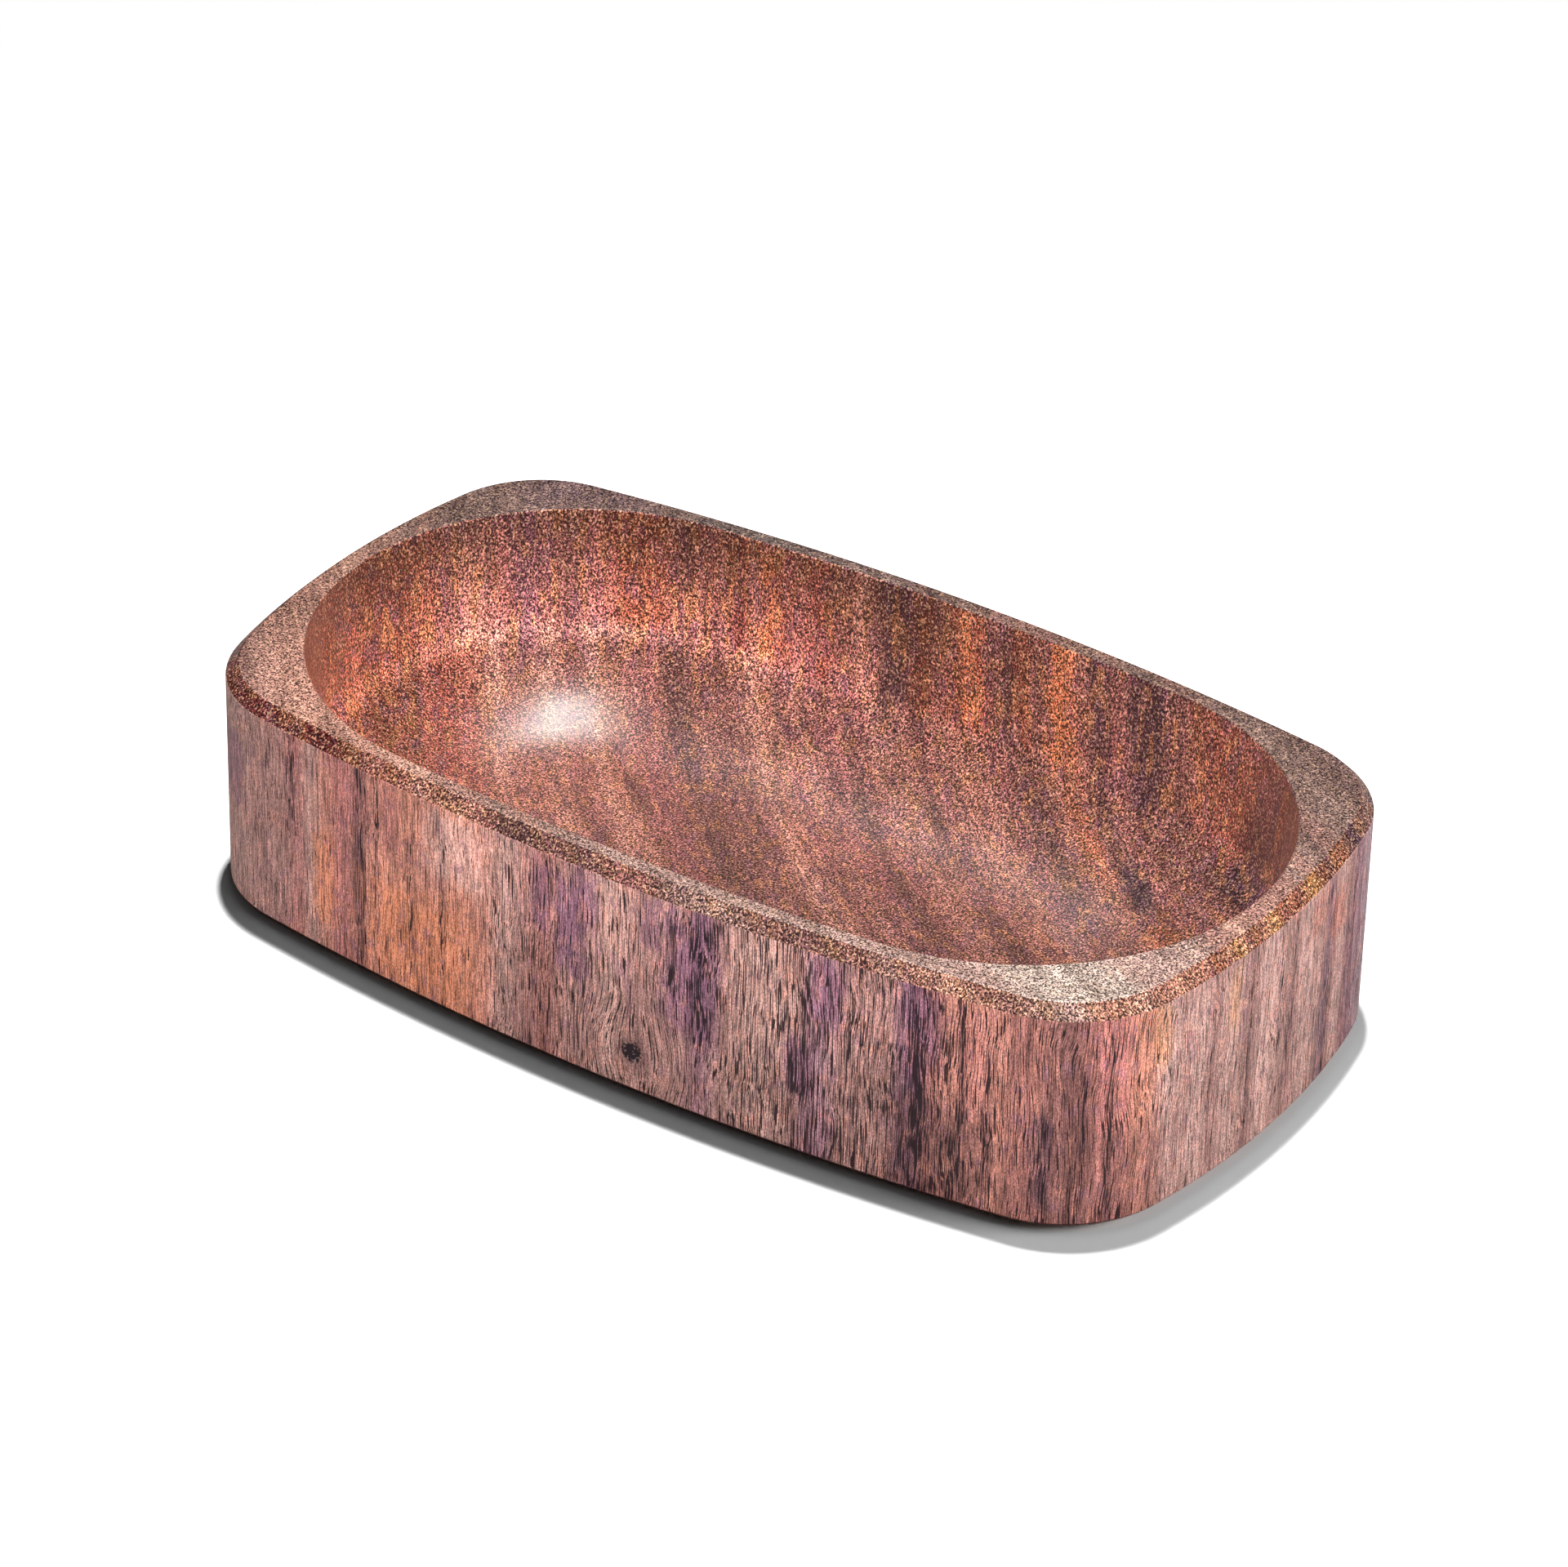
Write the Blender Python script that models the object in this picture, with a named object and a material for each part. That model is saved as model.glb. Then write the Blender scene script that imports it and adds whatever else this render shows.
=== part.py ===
"""A small hardwood dish, carved from one end-grain block.

The block has gently bowed sides and ends, round corners, a wide chamfer
round the top and a fine one round the foot. A long bowl with round ends is
hollowed into its top. Four round rubber pads sit in shallow recesses in the
underside and carry the dish.

Units are metres. The origin is on the table, below the middle of the dish:
X runs along the dish, Y across it and Z upwards.
"""

import math

import bmesh
import bpy

MM = 0.001

# Block
BLOCK_LENGTH = 150.0 * MM
BLOCK_WIDTH = 84.2 * MM
BLOCK_HEIGHT = 32.6 * MM
SIDE_BOW_RADIUS = 387.5 * MM
END_BOW_RADIUS = 115.0 * MM
CORNER_RADIUS = 17.5 * MM
TOP_CHAMFER = 1.75 * MM
BOTTOM_CHAMFER = 0.6 * MM

# Bowl
SIDE_RIM_WIDTH = 4.0 * MM
END_RIM_WIDTH = 4.5 * MM
BOWL_DEPTH = 27.0 * MM
WALL_DRAFT = math.radians(6.0)
WALL_BLEND_RADIUS = 7.0 * MM
DISH_RADIUS = 33.0 * MM
DISH_SLOPE = math.radians(40.0)

# Pads under the dish
PAD_DIAMETER = 9.5 * MM
PAD_THICKNESS = 2.0 * MM
PAD_PROUD = 0.8 * MM
PAD_EDGE_CHAMFER = 0.4 * MM
PAD_END_INSET = 19.0 * MM
PAD_SIDE_INSET = 17.0 * MM

# Fits
PAD_CLEARANCE = 0.3 * MM
CUT_OVERRUN = 2.0 * MM

# Steps along the round stretches
END_STEPS = 5
CORNER_STEPS = 7
SIDE_STEPS = 8
BOWL_END_STEPS = 15
BLEND_STEPS = 5
DISH_STEPS = 6
PAD_STEPS = 36
SHARP_ANGLE = math.radians(30.0)

# Colours (linear) and finish
WOOD_COLOUR = (0.36, 0.165, 0.118, 1.0)
WOOD_ROUGHNESS = 0.5
RUBBER_COLOUR = (0.02, 0.02, 0.021, 1.0)
RUBBER_ROUGHNESS = 0.75

BLOCK_BOTTOM = PAD_PROUD
BLOCK_TOP = BLOCK_BOTTOM + BLOCK_HEIGHT


def clear_scene():
    """Remove every object that is in the file at the start."""
    for thing in list(bpy.data.objects):
        bpy.data.objects.remove(thing, do_unlink=True)


def new_collection(name):
    """Add a collection to the scene."""
    collection = bpy.data.collections.new(name)
    bpy.context.scene.collection.children.link(collection)
    return collection


def plain_material(name, colour, roughness):
    """Make a Principled BSDF material of one colour."""
    material = bpy.data.materials.new(name)
    material.use_nodes = True
    shader = material.node_tree.nodes["Principled BSDF"]
    shader.inputs["Base Color"].default_value = colour
    shader.inputs["Roughness"].default_value = roughness
    shader.inputs["Metallic"].default_value = 0.0
    material.diffuse_color = colour
    return material


def finish_object(name, bm, collection):
    """Turn a bmesh into a named object in a collection."""
    bmesh.ops.recalc_face_normals(bm, faces=bm.faces[:])
    mesh = bpy.data.meshes.new(name)
    bm.to_mesh(mesh)
    bm.free()
    mesh.shade_smooth()
    mesh.set_sharp_from_angle(angle=SHARP_ANGLE)
    thing = bpy.data.objects.new(name, mesh)
    collection.objects.link(thing)
    return thing


def arc(centre, radius, start, end, steps):
    """Points along an arc, both ends included."""
    points = []
    for step in range(steps + 1):
        angle = start + (end - start) * step / steps
        x = centre[0] + radius * math.cos(angle)
        y = centre[1] + radius * math.sin(angle)
        points.append((x, y))
    return points


def full_loop(quarter):
    """Mirror a quarter outline, from +X round to +Y, into a closed loop."""
    half = quarter + [(-x, y) for x, y in reversed(quarter[:-1])]
    return half + [(x, -y) for x, y in reversed(half[1:-1])]


def block_outline():
    """Bowed sides and ends, joined by corner arcs that are tangent to both."""
    side_centre_y = BLOCK_WIDTH / 2 - SIDE_BOW_RADIUS
    end_centre_x = BLOCK_LENGTH / 2 - END_BOW_RADIUS
    to_side_centre = SIDE_BOW_RADIUS - CORNER_RADIUS
    to_end_centre = END_BOW_RADIUS - CORNER_RADIUS

    # The corner's centre is where two circles round the bows' centres cross.
    apart = math.hypot(end_centre_x, side_centre_y)
    along = (to_side_centre**2 - to_end_centre**2 + apart**2) / (2 * apart)
    across = math.sqrt(to_side_centre**2 - along**2)
    unit_x = end_centre_x / apart
    unit_y = -side_centre_y / apart
    crossings = []
    for offset in (across, -across):
        x = along * unit_x - offset * unit_y
        y = side_centre_y + along * unit_y + offset * unit_x
        crossings.append((x, y))
    corner_x, corner_y = max(crossings)

    end_angle = math.atan2(corner_y, corner_x - end_centre_x)
    side_angle = math.atan2(corner_y - side_centre_y, corner_x)
    quarter = arc((end_centre_x, 0), END_BOW_RADIUS, 0, end_angle, END_STEPS)
    quarter += arc((corner_x, corner_y), CORNER_RADIUS, end_angle, side_angle, CORNER_STEPS)[1:]
    quarter += arc((0, side_centre_y), SIDE_BOW_RADIUS, side_angle, math.pi / 2, SIDE_STEPS)[1:]
    return full_loop(quarter)


def mouth_outline():
    """Bowed sides that keep the rim's width, and round ends tangent to them."""
    half_length = BLOCK_LENGTH / 2 - END_RIM_WIDTH
    half_width = BLOCK_WIDTH / 2 - SIDE_RIM_WIDTH
    side_radius = SIDE_BOW_RADIUS - SIDE_RIM_WIDTH
    side_centre_y = half_width - side_radius
    past_end = side_radius - half_length
    end_centre_x = (side_centre_y**2 - past_end**2) / (2 * past_end)
    end_radius = half_length - end_centre_x
    side_angle = math.atan2(-side_centre_y, end_centre_x)
    quarter = arc((end_centre_x, 0), end_radius, 0, side_angle, BOWL_END_STEPS)
    quarter += arc((0, side_centre_y), side_radius, side_angle, math.pi / 2, SIDE_STEPS)[1:]
    return full_loop(quarter)


def bowl_profile():
    """The wall, its blend and the dished floor as (distance in from the rim, depth) pairs."""
    wall_slope = math.pi / 2 - WALL_DRAFT
    blend_drop = WALL_BLEND_RADIUS * (math.cos(DISH_SLOPE) - math.cos(wall_slope))
    dish_drop = DISH_RADIUS * (1 - math.cos(DISH_SLOPE))
    wall_depth = BOWL_DEPTH - blend_drop - dish_drop
    share = min(1, BOWL_DEPTH / (blend_drop + dish_drop))
    profile = [(0, 0)]
    if wall_depth > 0:
        profile.append((wall_depth * math.tan(WALL_DRAFT), wall_depth))
    profile += round_stretch(profile[-1], WALL_BLEND_RADIUS * share, wall_slope, DISH_SLOPE, BLEND_STEPS)
    profile += round_stretch(profile[-1], DISH_RADIUS * share, DISH_SLOPE, 0, DISH_STEPS)
    return profile


def round_stretch(start, radius, slope, next_slope, steps):
    """The profile's points from one slope to another along an arc, without the start."""
    points = []
    for step in range(1, steps + 1):
        here = slope + (next_slope - slope) * step / steps
        inset = start[0] + radius * (math.sin(slope) - math.sin(here))
        depth = start[1] + radius * (math.cos(here) - math.cos(slope))
        points.append((inset, depth))
    return points


def filled_outline(bm, outline, height):
    """One flat face with the outline, at a height."""
    corners = [bm.verts.new((x, y, height)) for x, y in outline]
    return bm.faces.new(corners)


def extrude_face(bm, face, distance):
    """Extrude a flat face along Z and return the face at the far end."""
    extruded = bmesh.ops.extrude_face_region(bm, geom=[face])["geom"]
    moved = [part for part in extruded if isinstance(part, bmesh.types.BMVert)]
    bmesh.ops.translate(bm, verts=moved, vec=(0, 0, distance))
    return next(part for part in extruded if isinstance(part, bmesh.types.BMFace))


def chamfer_edges(bm, edges, width):
    """Cut a flat chamfer along the edges."""
    bmesh.ops.bevel(
        bm, geom=edges, offset=width, offset_type="OFFSET",
        segments=1, profile=0.5, affect="EDGES", material=-1,
    )


def make_block(collection):
    """The block before it is hollowed, with both its chamfers."""
    bm = bmesh.new()
    underside = filled_outline(bm, block_outline(), BLOCK_BOTTOM)
    top = extrude_face(bm, underside, BLOCK_HEIGHT)
    chamfer_edges(bm, top.edges[:], TOP_CHAMFER)
    lowest = min(vertex.co.z for vertex in bm.verts)
    foot = [edge for edge in bm.edges if all(end.co.z == lowest for end in edge.verts)]
    chamfer_edges(bm, foot, BOTTOM_CHAMFER)
    return finish_object("dish_body", bm, collection)


def make_bowl_cutter(collection):
    """The bowl's space, from above the rim down to its dished floor."""
    bm = bmesh.new()
    cover = filled_outline(bm, mouth_outline(), BLOCK_TOP + CUT_OVERRUN)
    face = extrude_face(bm, cover, -CUT_OVERRUN)
    bmesh.ops.recalc_face_normals(bm, faces=bm.faces[:])
    profile = bowl_profile()
    for (inset, depth), (next_inset, next_depth) in zip(profile, profile[1:]):
        bmesh.ops.inset_region(
            bm, faces=[face], thickness=next_inset - inset,
            depth=next_depth - depth, use_even_offset=True,
        )
    return finish_object("bowl_cutter", bm, collection)


def cylinder(bm, radius, height, centre):
    """Add a closed upright cylinder, standing on its centre point."""
    made = bmesh.ops.create_cone(
        bm, cap_ends=True, segments=PAD_STEPS, radius1=radius, radius2=radius, depth=height,
    )
    bmesh.ops.translate(bm, verts=made["verts"], vec=(centre[0], centre[1], centre[2] + height / 2))


def pad_places():
    """The four pads' names and centres on the table."""
    x = BLOCK_LENGTH / 2 - PAD_END_INSET
    y = BLOCK_WIDTH / 2 - PAD_SIDE_INSET
    return {
        "pad_front_left": (-x, -y, 0),
        "pad_front_right": (x, -y, 0),
        "pad_back_left": (-x, y, 0),
        "pad_back_right": (x, y, 0),
    }


def make_recess_cutter(name, place, collection):
    """The space that one pad and its clearance take out of the underside."""
    bm = bmesh.new()
    radius = PAD_DIAMETER / 2 + PAD_CLEARANCE
    start = BLOCK_BOTTOM - CUT_OVERRUN
    height = PAD_THICKNESS + PAD_CLEARANCE - start
    cylinder(bm, radius, height, (place[0], place[1], start))
    return finish_object(name + "_recess_cutter", bm, collection)


def make_pad(name, place, collection):
    """A round pad, chamfered where it meets the table."""
    bm = bmesh.new()
    cylinder(bm, PAD_DIAMETER / 2, PAD_THICKNESS, (0, 0, 0))
    lowest = min(bm.faces, key=lambda face: face.calc_center_median().z)
    chamfer_edges(bm, lowest.edges[:], PAD_EDGE_CHAMFER)
    pad = finish_object(name, bm, collection)
    pad.location = place
    return pad


def cut(target, cutter):
    """Take a cutter's space out of an object."""
    cutter.hide_render = True
    cutter.display_type = "WIRE"
    boolean = target.modifiers.new("Cut " + cutter.name, "BOOLEAN")
    boolean.operation = "DIFFERENCE"
    boolean.solver = "EXACT"
    boolean.object = cutter


def main():
    """Build the dish and its pads."""
    clear_scene()
    parts = new_collection("wooden_dish")
    cutters = new_collection("cutters")
    wood = plain_material("wood", WOOD_COLOUR, WOOD_ROUGHNESS)
    rubber = plain_material("rubber", RUBBER_COLOUR, RUBBER_ROUGHNESS)

    body = make_block(parts)
    body.data.materials.append(wood)
    cut(body, make_bowl_cutter(cutters))
    for name, place in pad_places().items():
        cut(body, make_recess_cutter(name, place, cutters))
        pad = make_pad(name, place, parts)
        pad.data.materials.append(rubber)


main()
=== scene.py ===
"""The looks of a small hardwood dish that stands on four rubber pads.

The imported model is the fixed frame. The dish is modelled again with smooth
arcs and eased edges, and gets its wood: fibres that stand upright, growth
bands round the tree's heart, pores, streaks and a knot. The pads are turned.

Sizes are metres in the frame's axes: X along the dish, Y towards its back and
Z up. Places in the wood are millimetres, as a wood worker would give them.
"""

import logging
import math
from dataclasses import dataclass, field, replace
from enum import Enum

import bmesh
import bpy
from mathutils import Matrix, Vector


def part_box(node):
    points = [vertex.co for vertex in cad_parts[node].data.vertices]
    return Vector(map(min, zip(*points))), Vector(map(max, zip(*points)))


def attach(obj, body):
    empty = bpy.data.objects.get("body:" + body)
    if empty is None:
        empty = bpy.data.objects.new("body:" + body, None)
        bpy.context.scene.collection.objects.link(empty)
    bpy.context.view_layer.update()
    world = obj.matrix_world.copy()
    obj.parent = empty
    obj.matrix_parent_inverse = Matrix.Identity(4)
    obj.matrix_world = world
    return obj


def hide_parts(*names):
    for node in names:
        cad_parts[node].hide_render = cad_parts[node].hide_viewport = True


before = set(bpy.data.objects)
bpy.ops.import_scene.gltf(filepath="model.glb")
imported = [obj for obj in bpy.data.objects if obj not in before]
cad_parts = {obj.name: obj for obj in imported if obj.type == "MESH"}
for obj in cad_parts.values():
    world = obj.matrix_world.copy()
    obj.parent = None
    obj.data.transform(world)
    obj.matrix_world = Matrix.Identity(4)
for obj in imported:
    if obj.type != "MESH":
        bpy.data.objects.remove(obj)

LOG = logging.getLogger("wooden_dish")
MM = 0.001
MM_PER_METRE = 1000.0
COARSE_GAP = MM / 100
FINE_GAP = MM / 1000
BODY = "root"

Socket = bpy.types.NodeSocket
Value = Socket | float | tuple[float, ...]
Size = tuple[float, float, float]
Run = tuple[float, float]
BandTable = tuple[tuple[float, "Tone"], ...]


class Tone(Enum):
    """Wood tones, as display red, green and blue from 0 to 255."""

    INK = (42, 26, 32)
    NIGHT = (78, 56, 68)
    SMOKE = (114, 76, 72)
    COCOA = (134, 90, 85)
    GARNET = (114, 50, 50)
    MAROON = (128, 68, 62)
    CHESTNUT = (138, 78, 62)
    PLUM = (124, 84, 102)
    MAUVE = (150, 112, 119)
    LILAC = (160, 134, 138)
    UMBER = (150, 88, 68)
    SIENNA = (165, 98, 78)
    BROWN = (150, 98, 90)
    FAWN = (156, 115, 108)
    SAND = (171, 131, 122)
    RUSSET = (174, 95, 79)
    CORAL = (193, 112, 94)
    ROSE = (170, 108, 102)
    BLUSH = (190, 149, 140)
    SHELL = (204, 180, 167)
    TAN = (180, 122, 108)
    PEACH = (192, 128, 109)
    CREAM = (207, 148, 128)
    AMBER = (194, 116, 78)
    APRICOT = (214, 132, 92)
    GOLD = (198, 138, 88)
    # The painted glints on the end grain take this tone.
    STRAW = (232, 188, 146)

    @property
    def colour(self) -> tuple[float, float, float, float]:
        """The tone as the linear colour that a shader takes."""
        return linear_colour(self.value)


def linear_colour(display: tuple[int, int, int]) -> tuple[float, float, float, float]:
    """Turn a display colour into a linear one.

    Args:
        display: Red, green and blue from 0 to 255.

    Returns:
        Linear red, green and blue, and an alpha of 1.
    """
    channels = []
    for channel in display:
        share = channel / 255
        linear = share / 12.92 if share <= 0.04045 else ((share + 0.055) / 1.055) ** 2.4
        channels.append(linear)
    return (*channels, 1.0)


@dataclass(frozen=True)
class Graph:
    """Adds nodes to one node tree and joins them up."""

    tree: bpy.types.NodeTree

    def feed(self, target: Socket, value: Value) -> None:
        """Link a socket, or set its value.

        Args:
            target: The input socket.
            value: An output socket, or a plain value.
        """
        if isinstance(value, bpy.types.NodeSocket):
            self.tree.links.new(value, target)
        else:
            target.default_value = value

    def add(self, kind: str, inputs: dict | None = None, **settings: object) -> bpy.types.Node:
        """Add a node.

        Args:
            kind: The node's type.
            inputs: Values for its inputs, by name or number.
            settings: Values for its own properties.

        Returns:
            The node.
        """
        node = self.tree.nodes.new(kind)
        for name, setting in settings.items():
            setattr(node, name, setting)
        for key, value in (inputs or {}).items():
            self.feed(node.inputs[key], value)
        return node

    def group(self, tree: bpy.types.NodeTree, inputs: dict) -> bpy.types.Node:
        """Place a node group with its own values.

        Args:
            tree: The group's tree.
            inputs: Values for its inputs, by name.

        Returns:
            The group node.
        """
        return self.add("ShaderNodeGroup", inputs, node_tree=tree)

    def maths(self, operation: str, *values: Value) -> Socket:
        """The result of a Math node.

        Args:
            operation: The node's operation.
            values: Its inputs, in order.

        Returns:
            The output socket.
        """
        return self.add("ShaderNodeMath", dict(enumerate(values)), operation=operation).outputs[0]

    def vector(self, operation: str, first: Value, second: Value) -> Socket:
        """The vector that a Vector Math node gives.

        Args:
            operation: The node's operation.
            first: Its first vector.
            second: Its second vector.

        Returns:
            The vector output.
        """
        node = self.add("ShaderNodeVectorMath", {0: first, 1: second}, operation=operation)
        return node.outputs["Vector"]

    def scale(self, value: Value, *factors: Value) -> Socket:
        """Multiply a colour or a vector by plain numbers.

        Args:
            value: The colour or vector.
            factors: The numbers.

        Returns:
            The vector output.
        """
        amount = factors[0]
        for factor in factors[1:]:
            amount = self.maths("MULTIPLY", amount, factor)
        inputs = {0: value, "Scale": amount}
        return self.add("ShaderNodeVectorMath", inputs, operation="SCALE").outputs["Vector"]

    def ease(self, value: Value, start: Value, end: Value, low: Value = 0.0, high: Value = 1.0) -> Socket:
        """Run smoothly from one number to another.

        Args:
            value: What is read.
            start: Where the run starts.
            end: Where it ends.
            low: The result at the start.
            high: The result at the end.

        Returns:
            The output socket.
        """
        inputs = {"Value": value, "From Min": start, "From Max": end, "To Min": low, "To Max": high}
        return self.add("ShaderNodeMapRange", inputs, interpolation_type="SMOOTHSTEP").outputs["Result"]

    def blend(self, share: Value, under: Value, over: Value) -> Socket:
        """Lay one colour over another.

        Args:
            share: How much of the upper colour shows.
            under: The lower colour.
            over: The upper colour.

        Returns:
            The colour output. A Mix node has its colours at inputs 6 and 7.
        """
        inputs = {0: share, 6: under, 7: over}
        return self.add("ShaderNodeMix", inputs, data_type="RGBA", clamp_factor=True).outputs[2]

    def noise(self, place: Value, size: Value, detail: Value) -> Socket:
        """Noise round a half.

        Args:
            place: Where it is read.
            size: How large its features are along each axis.
            detail: How many finer layers it has.

        Returns:
            The noise value.
        """
        inputs = {"Vector": self.vector("DIVIDE", place, size), "Scale": 1.0, "Detail": detail}
        return self.add("ShaderNodeTexNoise", inputs).outputs["Fac"]

    def split(self, vector: Socket) -> bpy.types.NodeOutputs:
        """The X, Y and Z of a vector, by name."""
        return self.add("ShaderNodeSeparateXYZ", {0: vector}).outputs

    def length(self, vector: Socket) -> Socket:
        """The length of a vector."""
        return self.add("ShaderNodeVectorMath", {0: vector}, operation="LENGTH").outputs["Value"]

    def bump(self, height: Socket, depth: float, strength: float) -> Socket:
        """The normal of a surface with a fine relief.

        Args:
            height: How far each point stands out, from 0 to 1.
            depth: The relief's depth in metres.
            strength: How strongly it shows.

        Returns:
            The normal.
        """
        inputs = {"Height": height, "Distance": depth, "Strength": strength}
        return self.add("ShaderNodeBump", inputs).outputs["Normal"]


@dataclass(frozen=True)
class Patch:
    """A place on a face of the wood with a tone of its own.

    Across is the band radius. Along is the way along the band on the end
    grain, and the height on the side faces. All are millimetres.
    """

    across: float
    along: float
    half_across: float
    half_along: float
    tone: Tone
    strength: float = 0.8


@dataclass(frozen=True)
class NodeGroups:
    """The node groups that the finishes share."""

    rings: bpy.types.NodeTree
    marks: bpy.types.NodeTree
    patch: bpy.types.NodeTree


class GroupKit:
    """Builds the node groups."""

    def start(self, name: str, inputs: dict[str, str], outputs: dict[str, str]) -> tuple:
        """Open a new group.

        Args:
            name: The group's name.
            inputs: Socket types by input name.
            outputs: Socket types by output name.

        Returns:
            Its tree, its graph, its input sockets and its output sockets.
        """
        tree = bpy.data.node_groups.new(name, "ShaderNodeTree")
        for title, kind in inputs.items():
            tree.interface.new_socket(title, in_out="INPUT", socket_type=kind)
        for title, kind in outputs.items():
            tree.interface.new_socket(title, in_out="OUTPUT", socket_type=kind)
        graph = Graph(tree)
        entry = graph.add("NodeGroupInput").outputs
        leave = graph.add("NodeGroupOutput").inputs
        return tree, graph, entry, leave

    def rings(self) -> bpy.types.NodeTree:
        """Where a point lies among the growth bands round the tree's heart.

        Returns:
            A group with the band radius, the way along the band, both with the
            height as one vector, and the point in millimetres.
        """
        heart = (85.0, 128.0, 0.0)
        along_radius = 150.0
        diagonal = math.radians(45.0)
        tightening = 0.0012
        swing_size = (26.0, 26.0, 60.0)
        outputs = {"Radius": "NodeSocketFloat", "Along": "NodeSocketFloat"}
        outputs |= {"Sheet": "NodeSocketVector", "Place": "NodeSocketVector"}
        inputs = {"Vector": "NodeSocketVector", "Wander": "NodeSocketFloat"}
        tree, graph, entry, leave = self.start("growth_rings", inputs, outputs)
        place = graph.vector("MULTIPLY", entry["Vector"], (MM_PER_METRE,) * 3)
        offset = graph.vector("SUBTRACT", heart, place)
        parts = graph.split(offset)
        length = graph.length(graph.vector("MULTIPLY", offset, (1.0, 1.0, 0.0)))
        angle = graph.maths("ARCTAN2", parts["Y"], parts["X"])
        along = graph.maths("MULTIPLY", graph.maths("SUBTRACT", angle, diagonal), along_radius)
        ahead = graph.maths("MAXIMUM", along, 0.0)
        drift = graph.maths("MULTIPLY", graph.maths("MULTIPLY", ahead, ahead), -tightening)
        broad = graph.noise(place, swing_size, detail=3.0)
        swing = graph.maths("MULTIPLY", graph.maths("SUBTRACT", broad, 0.5), entry["Wander"])
        radius = graph.maths("ADD", graph.maths("ADD", length, drift), swing)
        height = graph.split(place)["Z"]
        sheet = graph.add("ShaderNodeCombineXYZ", {"X": radius, "Y": along, "Z": height}).outputs[0]
        for title, result in zip(outputs, (radius, along, sheet, place)):
            graph.feed(leave[title], result)
        return tree

    def marks(self) -> bpy.types.NodeTree:
        """Ragged marks of one size: pores, lines, dashes or specks.

        Returns:
            A group with a value that runs from one number to another.
        """
        floats = ("Start", "End", "Low", "High", "Detail")
        inputs = {"Place": "NodeSocketVector", "Size": "NodeSocketVector"}
        inputs |= dict.fromkeys(floats, "NodeSocketFloat")
        outputs = {"Value": "NodeSocketFloat"}
        tree, graph, entry, leave = self.start("wood_marks", inputs, outputs)
        noise = graph.noise(entry["Place"], entry["Size"], entry["Detail"])
        ends = (entry["Start"], entry["End"], entry["Low"], entry["High"])
        graph.feed(leave["Value"], graph.ease(noise, *ends))
        return tree

    def patch(self) -> bpy.types.NodeTree:
        """A soft-edged patch that ragged noise breaks up.

        Returns:
            A group with a mask.
        """
        raggedness = 1.1
        faded = 1.15
        full = {"X": 0.35, "Y": 0.55}
        inputs = dict.fromkeys(("Across", "Along", "Ragged"), "NodeSocketFloat")
        inputs |= {"Middle": "NodeSocketVector", "Half Size": "NodeSocketVector"}
        outputs = {"Mask": "NodeSocketFloat"}
        tree, graph, entry, leave = self.start("wood_patch", inputs, outputs)
        spot = graph.add("ShaderNodeCombineXYZ", {"X": entry["Across"], "Y": entry["Along"]}).outputs[0]
        offset = graph.vector("DIVIDE", graph.vector("SUBTRACT", spot, entry["Middle"]), entry["Half Size"])
        parts = graph.split(offset)
        rim = graph.maths("SUBTRACT", graph.maths("MULTIPLY", entry["Ragged"], raggedness), raggedness / 2)
        masks = []
        for axis, start in full.items():
            reach = graph.maths("ADD", graph.maths("ABSOLUTE", parts[axis]), rim)
            masks.append(graph.ease(reach, faded, start))
        graph.feed(leave["Mask"], graph.maths("MULTIPLY", *masks))
        return tree

    def build(self) -> NodeGroups:
        """Build every group once."""
        return NodeGroups(self.rings(), self.marks(), self.patch())


BOWL_BANDS: BandTable = (
    (84, Tone.PLUM), (91, Tone.SMOKE), (97, Tone.COCOA), (98.4, Tone.SMOKE), (100.6, Tone.COCOA),
    (103.4, Tone.BROWN), (105.6, Tone.BROWN), (107.2, Tone.ROSE), (109, Tone.COCOA), (110.6, Tone.BROWN),
    (112, Tone.PEACH), (113.4, Tone.TAN), (115, Tone.BROWN), (116.7, Tone.COCOA), (118.2, Tone.BROWN),
    (119.8, Tone.ROSE), (121.6, Tone.TAN), (123.6, Tone.PEACH), (125.6, Tone.TAN), (127.2, Tone.ROSE),
    (128.7, Tone.BROWN), (130.2, Tone.TAN), (132, Tone.TAN), (133.6, Tone.TAN), (135.2, Tone.ROSE),
    (136.9, Tone.BROWN), (138.2, Tone.ROSE), (140.8, Tone.ROSE), (142.4, Tone.TAN), (144.4, Tone.ROSE),
    (145.6, Tone.TAN), (146.8, Tone.PEACH), (148.2, Tone.CREAM), (149.6, Tone.TAN), (151.2, Tone.BROWN),
    (154, Tone.BROWN), (156, Tone.BROWN), (157.6, Tone.COCOA), (158.8, Tone.COCOA), (160.3, Tone.BROWN),
    (162, Tone.ROSE), (164.6, Tone.ROSE), (166.2, Tone.TAN), (168, Tone.PEACH), (169.6, Tone.CREAM),
    (171.4, Tone.TAN), (172.8, Tone.ROSE), (174.4, Tone.TAN), (176.4, Tone.CREAM), (178.4, Tone.PEACH),
    (180, Tone.TAN), (181.6, Tone.PEACH), (183.2, Tone.CREAM), (185, Tone.PEACH), (187, Tone.CORAL),
    (188.8, Tone.CORAL), (190.4, Tone.RUSSET), (191.8, Tone.RUSSET), (193.2, Tone.CORAL), (195, Tone.UMBER),
    (196.8, Tone.SIENNA), (198.8, Tone.UMBER), (200.4, Tone.SIENNA), (201.8, Tone.SIENNA),
    (203.2, Tone.AMBER), (205, Tone.SIENNA), (208, Tone.UMBER),
)

# Partly painted shade: these wall tones are darker and more saturated than the floor bands above, partly
# from the wood and partly from shade painted in.
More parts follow.
